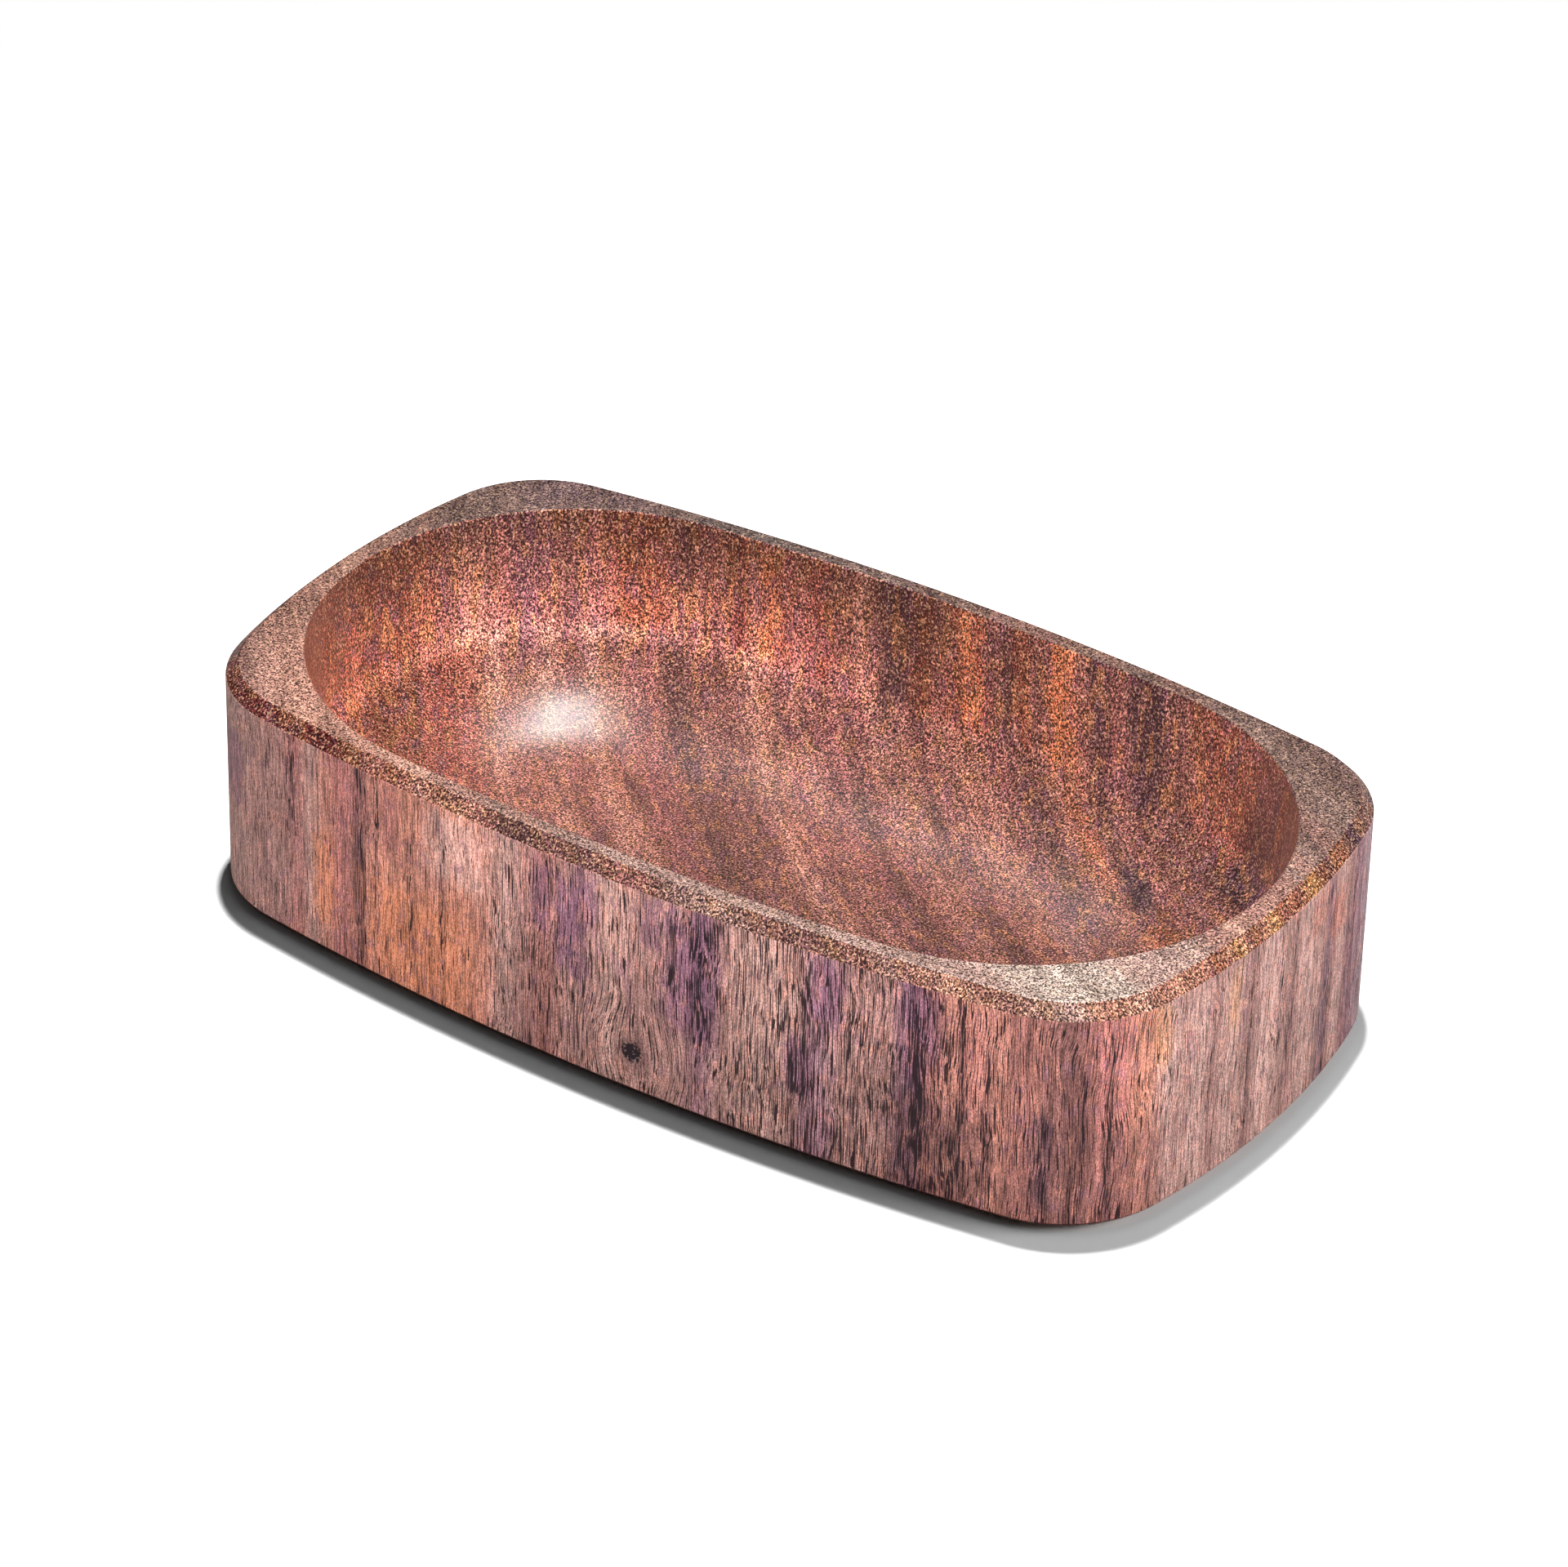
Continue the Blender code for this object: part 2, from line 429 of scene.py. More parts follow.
WALL_BANDS: BandTable = (
    (84, Tone.COCOA), (95.6, Tone.BROWN), (98, Tone.MAROON), (100.5, Tone.COCOA), (103.4, Tone.SMOKE),
    (105.6, Tone.COCOA), (107.2, Tone.ROSE), (108.8, Tone.SMOKE), (110.2, Tone.TAN), (111.6, Tone.APRICOT),
    (113.2, Tone.APRICOT), (114.8, Tone.COCOA), (116.4, Tone.UMBER), (117.8, Tone.SMOKE),
    (119.4, Tone.COCOA), (121, Tone.RUSSET), (122.3, Tone.APRICOT), (123.8, Tone.SIENNA),
    (125.4, Tone.BROWN), (127, Tone.CHESTNUT), (129.8, Tone.SMOKE), (131.3, Tone.SMOKE),
    (132.8, Tone.TAN), (134.2, Tone.CREAM), (135.8, Tone.BROWN),
    (137.4, Tone.BROWN), (139, Tone.RUSSET), (141.8, Tone.ROSE), (144.6, Tone.SIENNA), (146.4, Tone.APRICOT),
    (147.8, Tone.TAN), (149.3, Tone.MAROON), (152, Tone.BROWN), (155.2, Tone.BROWN), (156.8, Tone.SMOKE),
    (158.4, Tone.BROWN), (160.2, Tone.UMBER), (162.8, Tone.SIENNA), (165.4, Tone.UMBER), (168.6, Tone.ROSE),
    (171.8, Tone.COCOA), (174.8, Tone.BROWN), (177, Tone.BROWN), (179.2, Tone.BROWN), (182, Tone.ROSE),
    (184.8, Tone.TAN), (187, Tone.TAN), (189.6, Tone.BROWN), (192.6, Tone.SIENNA), (195.4, Tone.UMBER),
    (197.3, Tone.CHESTNUT), (199, Tone.UMBER), (201.6, Tone.CHESTNUT), (203.2, Tone.SIENNA),
    (205, Tone.UMBER), (207.6, Tone.UMBER), (212, Tone.CHESTNUT),
)

# The pale blush and shell bands, on the rim round the right front corner, are partly painted sheen.
RIM_BANDS_WITH_PAINTED_SHEEN: BandTable = (
    (84, Tone.PLUM), (91, Tone.COCOA), (93, Tone.FAWN), (95.4, Tone.SAND), (98, Tone.FAWN),
    (101, Tone.ROSE), (103, Tone.COCOA), (105, Tone.FAWN), (107, Tone.TAN), (109, Tone.FAWN),
    (111, Tone.TAN), (113, Tone.ROSE), (116, Tone.TAN), (119, Tone.ROSE), (121.4, Tone.TAN),
    (123.4, Tone.CREAM), (125, Tone.TAN), (127.4, Tone.ROSE), (130, Tone.SAND), (133, Tone.BLUSH),
    (137, Tone.BLUSH), (141, Tone.BLUSH), (144, Tone.SHELL), (149, Tone.SHELL), (153, Tone.SHELL),
    (157, Tone.BLUSH), (160.6, Tone.BLUSH), (163, Tone.SAND), (165, Tone.SAND), (167.4, Tone.BLUSH),
    (169.4, Tone.SAND), (171.4, Tone.FAWN), (173.4, Tone.SAND), (176, Tone.SAND), (180, Tone.SAND),
    (183, Tone.FAWN), (185.2, Tone.SAND), (187.4, Tone.FAWN), (190, Tone.FAWN), (193, Tone.TAN),
    (195, Tone.FAWN), (197.4, Tone.TAN), (200, Tone.TAN), (203.2, Tone.CREAM), (207, Tone.PEACH),
    (210.4, Tone.PEACH), (214, Tone.PEACH), (217, Tone.TAN), (221, Tone.ROSE),
)

CHAMFER_BANDS: BandTable = (
    (84, Tone.SMOKE), (91, Tone.FAWN), (93, Tone.COCOA), (95.6, Tone.NIGHT), (98, Tone.COCOA),
    (100.2, Tone.AMBER), (103, Tone.SMOKE), (105, Tone.UMBER), (107.8, Tone.GOLD), (110.6, Tone.SIENNA),
    (113.4, Tone.SIENNA), (115.4, Tone.SIENNA), (117.4, Tone.GOLD), (119.4, Tone.PEACH), (121.2, Tone.UMBER),
    (123, Tone.PEACH), (125.2, Tone.GOLD), (127.2, Tone.PEACH), (129.2, Tone.UMBER), (131, Tone.SIENNA),
    (133.4, Tone.PEACH), (137, Tone.PEACH), (140.6, Tone.TAN), (143.4, Tone.CREAM), (147, Tone.PEACH),
    (149.6, Tone.CREAM), (151.4, Tone.BLUSH), (154, Tone.SAND), (157.6, Tone.TAN), (159.4, Tone.TAN),
    (161.2, Tone.CREAM), (163.4, Tone.TAN), (165.4, Tone.FAWN), (167.4, Tone.BROWN), (170, Tone.COCOA),
    (174.6, Tone.COCOA), (177.4, Tone.SAND), (181, Tone.SAND), (183.2, Tone.BROWN), (185, Tone.ROSE),
    (187, Tone.BROWN), (189, Tone.SMOKE), (191.2, Tone.BROWN), (193, Tone.SMOKE), (195, Tone.SMOKE),
    (197, Tone.ROSE), (199.2, Tone.PEACH), (201.4, Tone.PEACH), (203.4, Tone.TAN), (205.4, Tone.SIENNA),
    (207.2, Tone.SIENNA), (209.2, Tone.UMBER), (211.4, Tone.GARNET), (213.4, Tone.GARNET),
    (215.2, Tone.CHESTNUT), (218, Tone.GARNET), (221, Tone.GARNET),
)

SIDE_BANDS: BandTable = (
    (84, Tone.LILAC), (91, Tone.LILAC), (94.4, Tone.MAUVE), (97.4, Tone.FAWN), (99.8, Tone.BLUSH),
    (101.8, Tone.FAWN), (103.4, Tone.MAUVE), (105, Tone.SAND), (107.6, Tone.BLUSH), (110, Tone.BLUSH),
    (112.2, Tone.FAWN), (115.2, Tone.SAND), (117.8, Tone.BLUSH), (120, Tone.BLUSH), (122, Tone.FAWN),
    (124.4, Tone.SAND), (127, Tone.BLUSH), (130.2, Tone.FAWN), (132.2, Tone.BLUSH), (135.8, Tone.SAND),
    (139, Tone.BLUSH), (142.2, Tone.PEACH), (144, Tone.PEACH), (145.8, Tone.ROSE), (147, Tone.BROWN),
    (148.4, Tone.ROSE), (150, Tone.BROWN), (152, Tone.SMOKE), (153.6, Tone.COCOA), (155.4, Tone.BROWN),
    (157, Tone.BROWN), (158.4, Tone.TAN), (160.8, Tone.TAN), (162.6, Tone.BROWN), (164, Tone.PLUM),
    (165.6, Tone.FAWN), (167.4, Tone.FAWN), (169, Tone.FAWN), (170.6, Tone.MAUVE), (172, Tone.FAWN),
    (173.6, Tone.SAND), (176.2, Tone.SAND), (177.8, Tone.FAWN), (179.4, Tone.PLUM), (181, Tone.FAWN),
    (183, Tone.FAWN), (185, Tone.FAWN), (187, Tone.SAND), (188.6, Tone.FAWN), (190.2, Tone.FAWN),
    (192, Tone.BROWN), (194.4, Tone.FAWN), (195.8, Tone.SAND), (197.4, Tone.TAN), (199, Tone.PEACH),
    (200.6, Tone.PEACH), (202.4, Tone.TAN), (204, Tone.PEACH), (206.2, Tone.PEACH), (207.8, Tone.TAN),
    (209.2, Tone.COCOA), (210.8, Tone.ROSE), (212.4, Tone.TAN), (213.8, Tone.SAND), (215.4, Tone.ROSE),
    (217, Tone.FAWN), (219, Tone.FAWN), (221.4, Tone.SAND), (225, Tone.ROSE),
)

BOWL_PATCHES: tuple[Patch, ...] = (
    Patch(158.0, 2.0, 1.5, 32.0, Tone.SMOKE, 0.8),
    Patch(153.0, 15.0, 3.2, 7.0, Tone.SMOKE, 0.75),
    Patch(166.0, 1.0, 1.8, 6.0, Tone.SMOKE, 0.7),
    Patch(173.4, 5.0, 1.1, 12.0, Tone.COCOA, 0.7),
    Patch(148.4, 34.0, 2.4, 12.0, Tone.CREAM, 0.6),
    Patch(168.5, 9.0, 2.4, 8.0, Tone.CREAM, 0.6),
    Patch(137.6, 15.0, 1.8, 6.0, Tone.SMOKE, 0.8),
    Patch(144.6, 27.0, 1.3, 7.0, Tone.SMOKE, 0.6),
    Patch(137.2, 38.0, 1.8, 12.0, Tone.SMOKE, 0.7),
    Patch(128.6, 20.0, 1.6, 5.0, Tone.SMOKE, 0.6),
    Patch(128.6, 51.0, 2.2, 10.0, Tone.SMOKE, 0.7),
    Patch(117.0, 38.0, 1.8, 16.0, Tone.SMOKE, 0.7),
    Patch(109.0, 54.0, 1.9, 6.0, Tone.NIGHT, 0.8),
    Patch(99.5, 70.0, 2.4, 14.0, Tone.NIGHT, 0.7),
    Patch(112.0, 40.0, 1.8, 12.0, Tone.AMBER, 0.6),
    Patch(110.5, 66.0, 3.0, 5.0, Tone.AMBER, 0.6),
    Patch(121.0, 57.0, 2.2, 6.0, Tone.BLUSH, 0.6),
)

WALL_PATCHES: tuple[Patch, ...] = (
    Patch(98.5, 57.0, 2.8, 10.0, Tone.SIENNA, 0.6),
    Patch(103.8, 40.0, 2.4, 5.5, Tone.NIGHT, 0.85),
    Patch(99.0, 74.0, 2.6, 6.0, Tone.NIGHT, 0.85),
    Patch(98.0, 86.0, 3.0, 5.0, Tone.NIGHT, 0.8),
    Patch(108.4, 29.0, 1.4, 5.0, Tone.NIGHT, 0.6),
    Patch(130.5, -3.0, 2.2, 4.5, Tone.NIGHT, 0.6),
    Patch(179.0, -25.0, 2.2, 5.0, Tone.PLUM, 0.6),
)

# Painted shade: these patches darken the rim's back stretch.
RIM_PAINTED_SHADE: tuple[Patch, ...] = (
    Patch(170.0, -35.0, 13.0, 11.0, Tone.PLUM, 0.8),
    Patch(146.0, -21.0, 17.0, 13.0, Tone.NIGHT, 0.75),
    Patch(121.0, -2.0, 14.0, 12.0, Tone.NIGHT, 0.6),
)

SIDE_PATCHES: tuple[Patch, ...] = (
    Patch(212.5, 12.0, 1.4, 8.0, Tone.AMBER, 0.55),
    Patch(203.5, 9.0, 6.5, 9.0, Tone.AMBER, 0.6),
    Patch(200.0, 26.0, 3.4, 6.0, Tone.BLUSH, 0.75),
    Patch(206.2, 26.0, 1.2, 6.0, Tone.ROSE, 0.7),
    Patch(209.6, 26.0, 2.0, 4.5, Tone.ROSE, 0.6),
    Patch(217.4, 16.0, 3.0, 13.0, Tone.FAWN, 0.6),
    Patch(221.2, 21.0, 0.7, 6.0, Tone.PLUM, 0.6),
    Patch(192.4, 25.0, 1.0, 6.0, Tone.PLUM, 0.7),
    Patch(190.0, 22.0, 1.6, 8.0, Tone.PLUM, 0.85),
    Patch(188.8, 27.0, 1.3, 5.0, Tone.PLUM, 0.7),
    Patch(180.4, 22.0, 2.8, 10.0, Tone.PLUM, 0.85),
    Patch(183.6, 27.0, 1.0, 4.0, Tone.PLUM, 0.6),
    Patch(175.0, 5.0, 9.0, 7.0, Tone.SAND, 0.4),
    Patch(170.2, 26.0, 1.6, 6.0, Tone.PLUM, 0.8),
    Patch(172.0, 14.0, 1.4, 5.0, Tone.PLUM, 0.8),
    Patch(170.8, 5.0, 1.8, 6.0, Tone.PLUM, 0.55),
    Patch(163.6, 26.0, 1.9, 6.0, Tone.PLUM, 0.7),
    Patch(164.0, 9.0, 1.6, 9.0, Tone.NIGHT, 0.65),
    Patch(154.6, 11.0, 1.2, 8.0, Tone.NIGHT, 0.65),
    Patch(159.8, 22.0, 1.4, 9.0, Tone.ROSE, 0.6),
    Patch(150.0, 10.0, 1.4, 14.0, Tone.SMOKE, 0.6),
    Patch(140.0, 27.0, 2.2, 5.0, Tone.GOLD, 0.45),
    Patch(126.2, 26.0, 1.6, 5.0, Tone.GOLD, 0.4),
    Patch(104.0, 12.0, 1.6, 12.0, Tone.NIGHT, 0.35),
    Patch(106.6, 28.0, 2.6, 3.5, Tone.TAN, 0.7),
    Patch(100.6, 25.0, 2.6, 3.5, Tone.CORAL, 0.5),
    Patch(97.0, 12.0, 1.8, 12.0, Tone.PLUM, 0.4),
    Patch(161.5, 6.0, 4.5, 10.0, Tone.SMOKE, 0.85),
    Patch(144.0, 4.0, 8.0, 12.0, Tone.COCOA, 0.65),
)

SIDE_STREAKS: tuple[Patch, ...] = (
    Patch(215.7, 25.0, 0.6, 9.0, Tone.MAROON, 0.85),
    Patch(208.9, 17.0, 0.7, 22.0, Tone.INK, 0.9),
    Patch(207.4, 18.0, 0.3, 18.0, Tone.MAROON, 0.8),
    Patch(204.2, 15.0, 0.3, 14.0, Tone.MAROON, 0.7),
    Patch(201.2, 17.0, 0.25, 16.0, Tone.MAROON, 0.75),
    Patch(179.6, 22.0, 0.9, 11.0, Tone.INK, 0.9),
    Patch(181.8, 24.0, 0.35, 6.0, Tone.INK, 0.8),
    Patch(178.3, 26.0, 0.3, 7.0, Tone.INK, 0.8),
    Patch(172.4, 8.0, 0.3, 11.0, Tone.INK, 0.6),
    Patch(171.7, 18.0, 0.25, 14.0, Tone.INK, 0.8),
    Patch(163.5, 15.0, 0.6, 14.0, Tone.INK, 0.85),
    Patch(160.5, 18.0, 0.25, 16.0, Tone.MAROON, 0.8),
    Patch(158.6, 16.0, 0.4, 14.0, Tone.MAROON, 0.6),
    Patch(154.4, 10.0, 0.4, 9.0, Tone.INK, 0.7),
    Patch(150.6, 14.0, 0.3, 13.0, Tone.INK, 0.7),
    Patch(147.4, 15.0, 0.35, 15.0, Tone.INK, 0.75),
    Patch(130.6, 17.0, 0.3, 12.0, Tone.SMOKE, 0.8),
    Patch(122.4, 16.0, 0.45, 19.0, Tone.INK, 0.85),
    Patch(115.6, 20.0, 0.5, 11.0, Tone.SMOKE, 0.8),
    Patch(113.2, 13.0, 0.7, 4.5, Tone.INK, 0.85),
    Patch(112.4, 22.0, 0.35, 10.0, Tone.SMOKE, 0.8),
    Patch(102.6, 8.0, 0.7, 9.0, Tone.INK, 0.8),
    Patch(103.4, 28.0, 0.8, 3.5, Tone.INK, 0.7),
    Patch(95.6, 18.0, 0.6, 14.0, Tone.SMOKE, 0.7),
)


@dataclass(frozen=True)
class Marks:
    """Ragged marks in the wood: pores, lines, dashes, specks or clouds.

    The noise that makes them runs from the start level to the end level, where
    they have the low and the high value. Sizes are millimetres, and the detail
    says how many finer layers the noise has.
    """

    size: Size
    start: Value
    end: Value
    low: Value = 0.0
    high: Value = 1.0
    detail: float = 1.0


@dataclass(frozen=True)
class Spot:
    """The shaded point as the patches see it, with the noise that frays them."""

    across: Socket
    along: Socket
    ragged: Socket


@dataclass(kw_only=True)
class Finish:
    """A material that is built up node by node."""

    name: str
    material: bpy.types.Material = field(init=False)
    graph: Graph = field(init=False)

    def __post_init__(self) -> None:
        """Start the material."""
        self.material = bpy.data.materials.new(self.name)
        self.material.use_nodes = True
        self.graph = Graph(self.material.node_tree)

    @property
    def inputs(self) -> bpy.types.NodeInputs:
        """The inputs of the material's shader."""
        return self.material.node_tree.nodes["Principled BSDF"].inputs

    def dress(self, colour: Socket, roughness: Socket, normal: Socket) -> bpy.types.Material:
        """Give the shader its looks.

        Args:
            colour: The base colour.
            roughness: The roughness.
            normal: The normal.

        Returns:
            The finished material.
        """
        for name, look in (("Base Color", colour), ("Roughness", roughness), ("Normal", normal)):
            self.graph.feed(self.inputs[name], look)
        return self.material


@dataclass(kw_only=True)
class Wood(Finish):
    """What every wood finish of the dish shares."""

    groups: NodeGroups
    roughness: float = 0.42
    coat: float = 0.3
    coat_roughness: float = 0.22
    wander: float = 2.0

    def open(self) -> tuple[bpy.types.NodeOutputs, bpy.types.NodeOutputs]:
        """Set the coat and find the place in the wood.

        Returns:
            The texture coordinates and the outputs of the rings group.
        """
        self.inputs["Coat Weight"].default_value = self.coat
        self.inputs["Coat Roughness"].default_value = self.coat_roughness
        coordinates = self.graph.add("ShaderNodeTexCoord").outputs
        start = {"Vector": coordinates["Object"], "Wander": self.wander}
        return coordinates, self.graph.group(self.groups.rings, start).outputs

    def band_colour(self, radius: Socket, bands: BandTable) -> Socket:
        """The tone of the growth bands.

        Args:
            radius: The band radius.
            bands: Radius and tone of each band's middle, going outwards.

        Returns:
            The colour. One ramp takes few stops, so several follow each other.
        """
        graph = self.graph
        most = 30
        colour = None
        for first in range(0, len(bands) - 1, most - 1):
            part = bands[first:first + most]
            start, end = part[0][0], part[-1][0]
            inputs = {"Value": radius, "From Min": start, "From Max": end}
            share = graph.add("ShaderNodeMapRange", inputs).outputs["Result"]
            ramp = graph.add("ShaderNodeValToRGB", {0: share})
            self.fill_ramp(ramp.color_ramp, part)
            if colour is None:
                colour = ramp.outputs["Color"]
            else:
                past = graph.maths("GREATER_THAN", radius, start)
                colour = graph.blend(past, colour, ramp.outputs["Color"])
        return colour

    def fill_ramp(self, ramp: bpy.types.ColorRamp, bands: BandTable) -> None:
        """Give a ramp one stop for each band.

        Args:
            ramp: The colour ramp.
            bands: The bands that it covers.
        """
        start, end = bands[0][0], bands[-1][0]
        ramp.elements.remove(ramp.elements[1])
        for number, (radius, tone) in enumerate(bands):
            share = (radius - start) / (end - start)
            stop = ramp.elements[0] if number == 0 else ramp.elements.new(share)
            stop.position = share
            stop.color = tone.colour

    def lay_patches(self, colour: Socket, spot: Spot, patches: tuple[Patch, ...]) -> Socket:
        """Lay the patches over a colour.

        Args:
            colour: The colour below.
            spot: The shaded point.
            patches: The patches, the lowest first.

        Returns:
            The colour.
        """
        for patch in patches:
            share = self.graph.maths("MULTIPLY", self.patch_mask(spot, patch), patch.strength)
            colour = self.graph.blend(share, colour, patch.tone.colour)
        return colour

    def patch_mask(self, spot: Spot, patch: Patch) -> Socket:
        """Where one patch lies.

        Args:
            spot: The shaded point.
            patch: The patch.

        Returns:
            The mask.
        """
        inputs = {"Across": spot.across, "Along": spot.along, "Ragged": spot.ragged}
        inputs["Middle"] = (patch.across, patch.along, 0.0)
        inputs["Half Size"] = (patch.half_across, patch.half_along, 1.0)
        return self.graph.group(self.groups.patch, inputs).outputs["Mask"]

    def marks(self, place: Socket, kind: Marks) -> Socket:
        """Place the marks group.

        Args:
            place: The point in millimetres.
            kind: The marks.

        Returns:
            The value.
        """
        inputs = {"Place": place, "Size": kind.size, "Start": kind.start, "End": kind.end}
        inputs |= {"Low": kind.low, "High": kind.high, "Detail": kind.detail}
        return self.graph.group(self.groups.marks, inputs).outputs["Value"]


@dataclass(frozen=True)
class Knot:
    """The small black knot on the front face, in millimetres."""

    middle: Size = (4.7, -42.0, 6.8)
    bend_reach: Run = (10.0, 1.0)
    bend_share: float = 0.45
    crumb_size: Size = (0.5, 0.5, 0.5)
    raggedness: float = 2.4
    halo: Run = (3.6, 1.4)
    halo_share: float = 0.6
    heart: Run = (1.7, 1.1)
    spark: Run = (0.56, 0.62)
    spark_share: float = 1.3

    def bend(self, graph: Graph, place: Socket) -> Socket:
        """Bend the fibres round the knot.

        Args:
            graph: The material's graph.
            place: The point in millimetres.

        Returns:
            The point at which the fibres are read.
        """
        offset = graph.vector("SUBTRACT", place, self.middle)
        pull = graph.ease(graph.length(offset), *self.bend_reach, 0.0, self.bend_share)
        sideways = graph.vector("MULTIPLY", graph.scale(offset, pull), (1.0, 0.0, 0.0))
        return graph.vector("SUBTRACT", place, sideways)

    def lay(self, graph: Graph, colour: Socket, place: Socket) -> Socket:
        """Lay the knot over the colour.

        Args:
            graph: The material's graph.
            colour: The colour below.
            place: The point in millimetres.

        Returns:
            The colour.
        """
        away = graph.length(graph.vector("SUBTRACT", place, self.middle))
        crumbs = graph.noise(place, self.crumb_size, detail=2.0)
        fray = graph.maths("MULTIPLY_ADD", crumbs, self.raggedness, -self.raggedness / 2)
        ragged = graph.maths("ADD", away, fray)
        halo = graph.ease(ragged, *self.halo, 0.0, self.halo_share)
        colour = graph.blend(halo, colour, Tone.SMOKE.colour)
        heart = graph.ease(ragged, *self.heart)
        colour = graph.blend(heart, colour, Tone.INK.colour)
        spark = graph.maths("MULTIPLY", halo, graph.ease(crumbs, *self.spark, 0.0, self.spark_share))
        return graph.blend(spark, colour, Tone.LILAC.colour)


@dataclass(kw_only=True)
class SideGrain(Wood):
    """Long grain on the upright side faces: fine lines and dark dashes.

    Runs along the band radius, such as the one from the right end to the front,
    say in millimetres where one part of the faces turns into the next.
    """

    name: str = "side_grain"
    roughness: float = 0.55
    coat: float = 0.0
    wander: float = 1.2
    knot: Knot = Knot()
    sway_size: Size = (8.0, 8.0, 12.0)
    sway_reach: float = 1.6
    patch_fray: Size = (0.9, 0.9, 1.5)
    streak_fray: Size = (0.3, 0.3, 3.0)
    streak_tint: float = 0.3
    warm: Marks = Marks((1.5, 1.5, 3.0), 0.54, 0.64, 0.0, 0.3, 2.0)
    cold: Marks = Marks((1.3, 1.3, 2.2), 0.42, 0.34, 0.0, 0.4, 2.0)
    fibres: Marks = Marks((0.14, 0.14, 4.0), 0.34, 0.66, 0.7, 1.34)
    grit: Marks = Marks((0.14, 0.14, 0.3), 0.32, 0.68, 0.62, 1.42)
    cloud: Marks = Marks((3.5, 3.5, 7.0), 0.3, 0.7, 0.88, 1.14, 3.0)
    stripes: Marks = Marks((0.5, 0.5, 30.0), 0.3, 0.7, 0.8, 1.2)
    # Painted light: the side faces are drawn lighter by a factor that runs from the foot value to a top
    # value, which differs on the end, the front and the left. The foot value is also the paler tone of side
    # grain.
    tone_and_painted_light: float = 1.48
    top_painted_light: float = 2.1
    end_top_painted_light: float = 1.78
    left_top_painted_light: float = 1.45
    foot_to_top: Run = (10.0, 28.0)
    end_to_front: Run = (158.0, 168.0)
    front_to_left: Run = (196.0, 204.0)
    left_to_coarse: Run = (197.4, 196.2)
    left_share: float = 0.15
    end_to_coarse: Run = (128.0, 150.0)
    end_share: float = 0.35
    dash_size: Size = (0.16, 0.16, 4.5)
    strand_size: Size = (0.17, 0.17, 9.0)
    strand_middle: float = 168.5
    strand_reach: Run = (9.0, 7.5)
    line_level: float = 0.64
    crowd_level: float = -0.12
    coarse_level: float = -0.06
    line_edge: float = 0.014
    line_strength: float = 0.82
    crowd_strength: float = 0.3
    coarse_strength: float = 0.15
    line_most: float = 0.95
    pits: Marks = Marks((0.16, 0.16, 4.5), 0.59, 0.62)
    fibre_relief: float = 0.3
    pore_depth: float = 0.06 * MM
    bump_strength: float = 0.7
    bounce: tuple[float, float, float, float] = (0.12, 0.12, 0.12, 1.0)

    def build(self) -> bpy.types.Material:
        """Build the material.

        Returns:
            The material. Light that it throws on other surfaces is grey.
        """
        graph = self.graph
        rings = self.open()[1]
        radius = rings["Radius"]
        height = graph.split(rings["Sheet"])["Z"]
        place = self.sway(self.knot.bend(graph, rings["Place"]))

        colour = self.band_colour(radius, SIDE_BANDS)
        broken = graph.noise(rings["Place"], self.patch_fray, detail=3.0)
        colour = self.lay_patches(colour, Spot(radius, height, broken), SIDE_PATCHES)
        colour = graph.blend(self.marks(place, self.warm), colour, Tone.PEACH.colour)
        colour = graph.blend(self.marks(place, self.cold), colour, Tone.PLUM.colour)
        frayed = graph.noise(rings["Place"], self.streak_fray, detail=2.0)
        crowd = self.crowd(Spot(radius, height, frayed))
        colour = graph.blend(graph.maths("MULTIPLY", crowd, self.streak_tint), colour, Tone.NIGHT.colour)

        fibres, grit = self.marks(place, self.fibres), self.marks(place, self.grit)
        cloud, stripes = self.marks(place, self.cloud), self.marks(place, self.stripes)
        # Painted light: the colour is drawn lighter towards the top of the side faces.
        top = graph.ease(radius, *self.end_to_front, self.end_top_painted_light, self.top_painted_light)
        top = graph.ease(radius, *self.front_to_left, top, self.left_top_painted_light)
        raised = graph.ease(height, *self.foot_to_top, self.tone_and_painted_light, top)
        colour = graph.scale(colour, raised, fibres, grit, stripes, cloud)
        colour = graph.blend(self.lines(place, radius, crowd), colour, Tone.INK.colour)
        colour = self.knot.lay(graph, colour, rings["Place"])

        pits = self.marks(place, self.pits)
        sunk = graph.maths("SUBTRACT", graph.maths("MULTIPLY", fibres, self.fibre_relief), pits)
        normal = graph.bump(sunk, self.pore_depth, self.bump_strength)
        bounced = graph.add("ShaderNodeLightPath").outputs["Is Diffuse Ray"]
        colour = graph.blend(bounced, colour, self.bounce)
        return self.dress(colour, graph.maths("MULTIPLY", cloud, self.roughness), normal)

    def sway(self, place: Socket) -> Socket:
        """Let the fibres run a little wavy.

        Args:
            place: The point in millimetres.

        Returns:
            The point at which the fibres are read.
        """
        graph = self.graph
        noise = graph.noise(place, self.sway_size, detail=1.0)
        push = graph.maths("MULTIPLY_ADD", noise, self.sway_reach, -self.sway_reach / 2)
        shift = graph.add("ShaderNodeCombineXYZ", {"X": push, "Y": push}).outputs[0]
        return graph.vector("ADD", place, shift)

    def crowd(self, spot: Spot) -> Socket:
        """Where dark lines crowd into streaks.

        Args:
            spot: The shaded point.

        Returns:
            A mask.
        """
        crowd = 0.0
        for streak in SIDE_STREAKS:
            mask = self.graph.maths("MULTIPLY", self.patch_mask(spot, streak), streak.strength)
            crowd = self.graph.maths("MAXIMUM", crowd, mask)
        return crowd

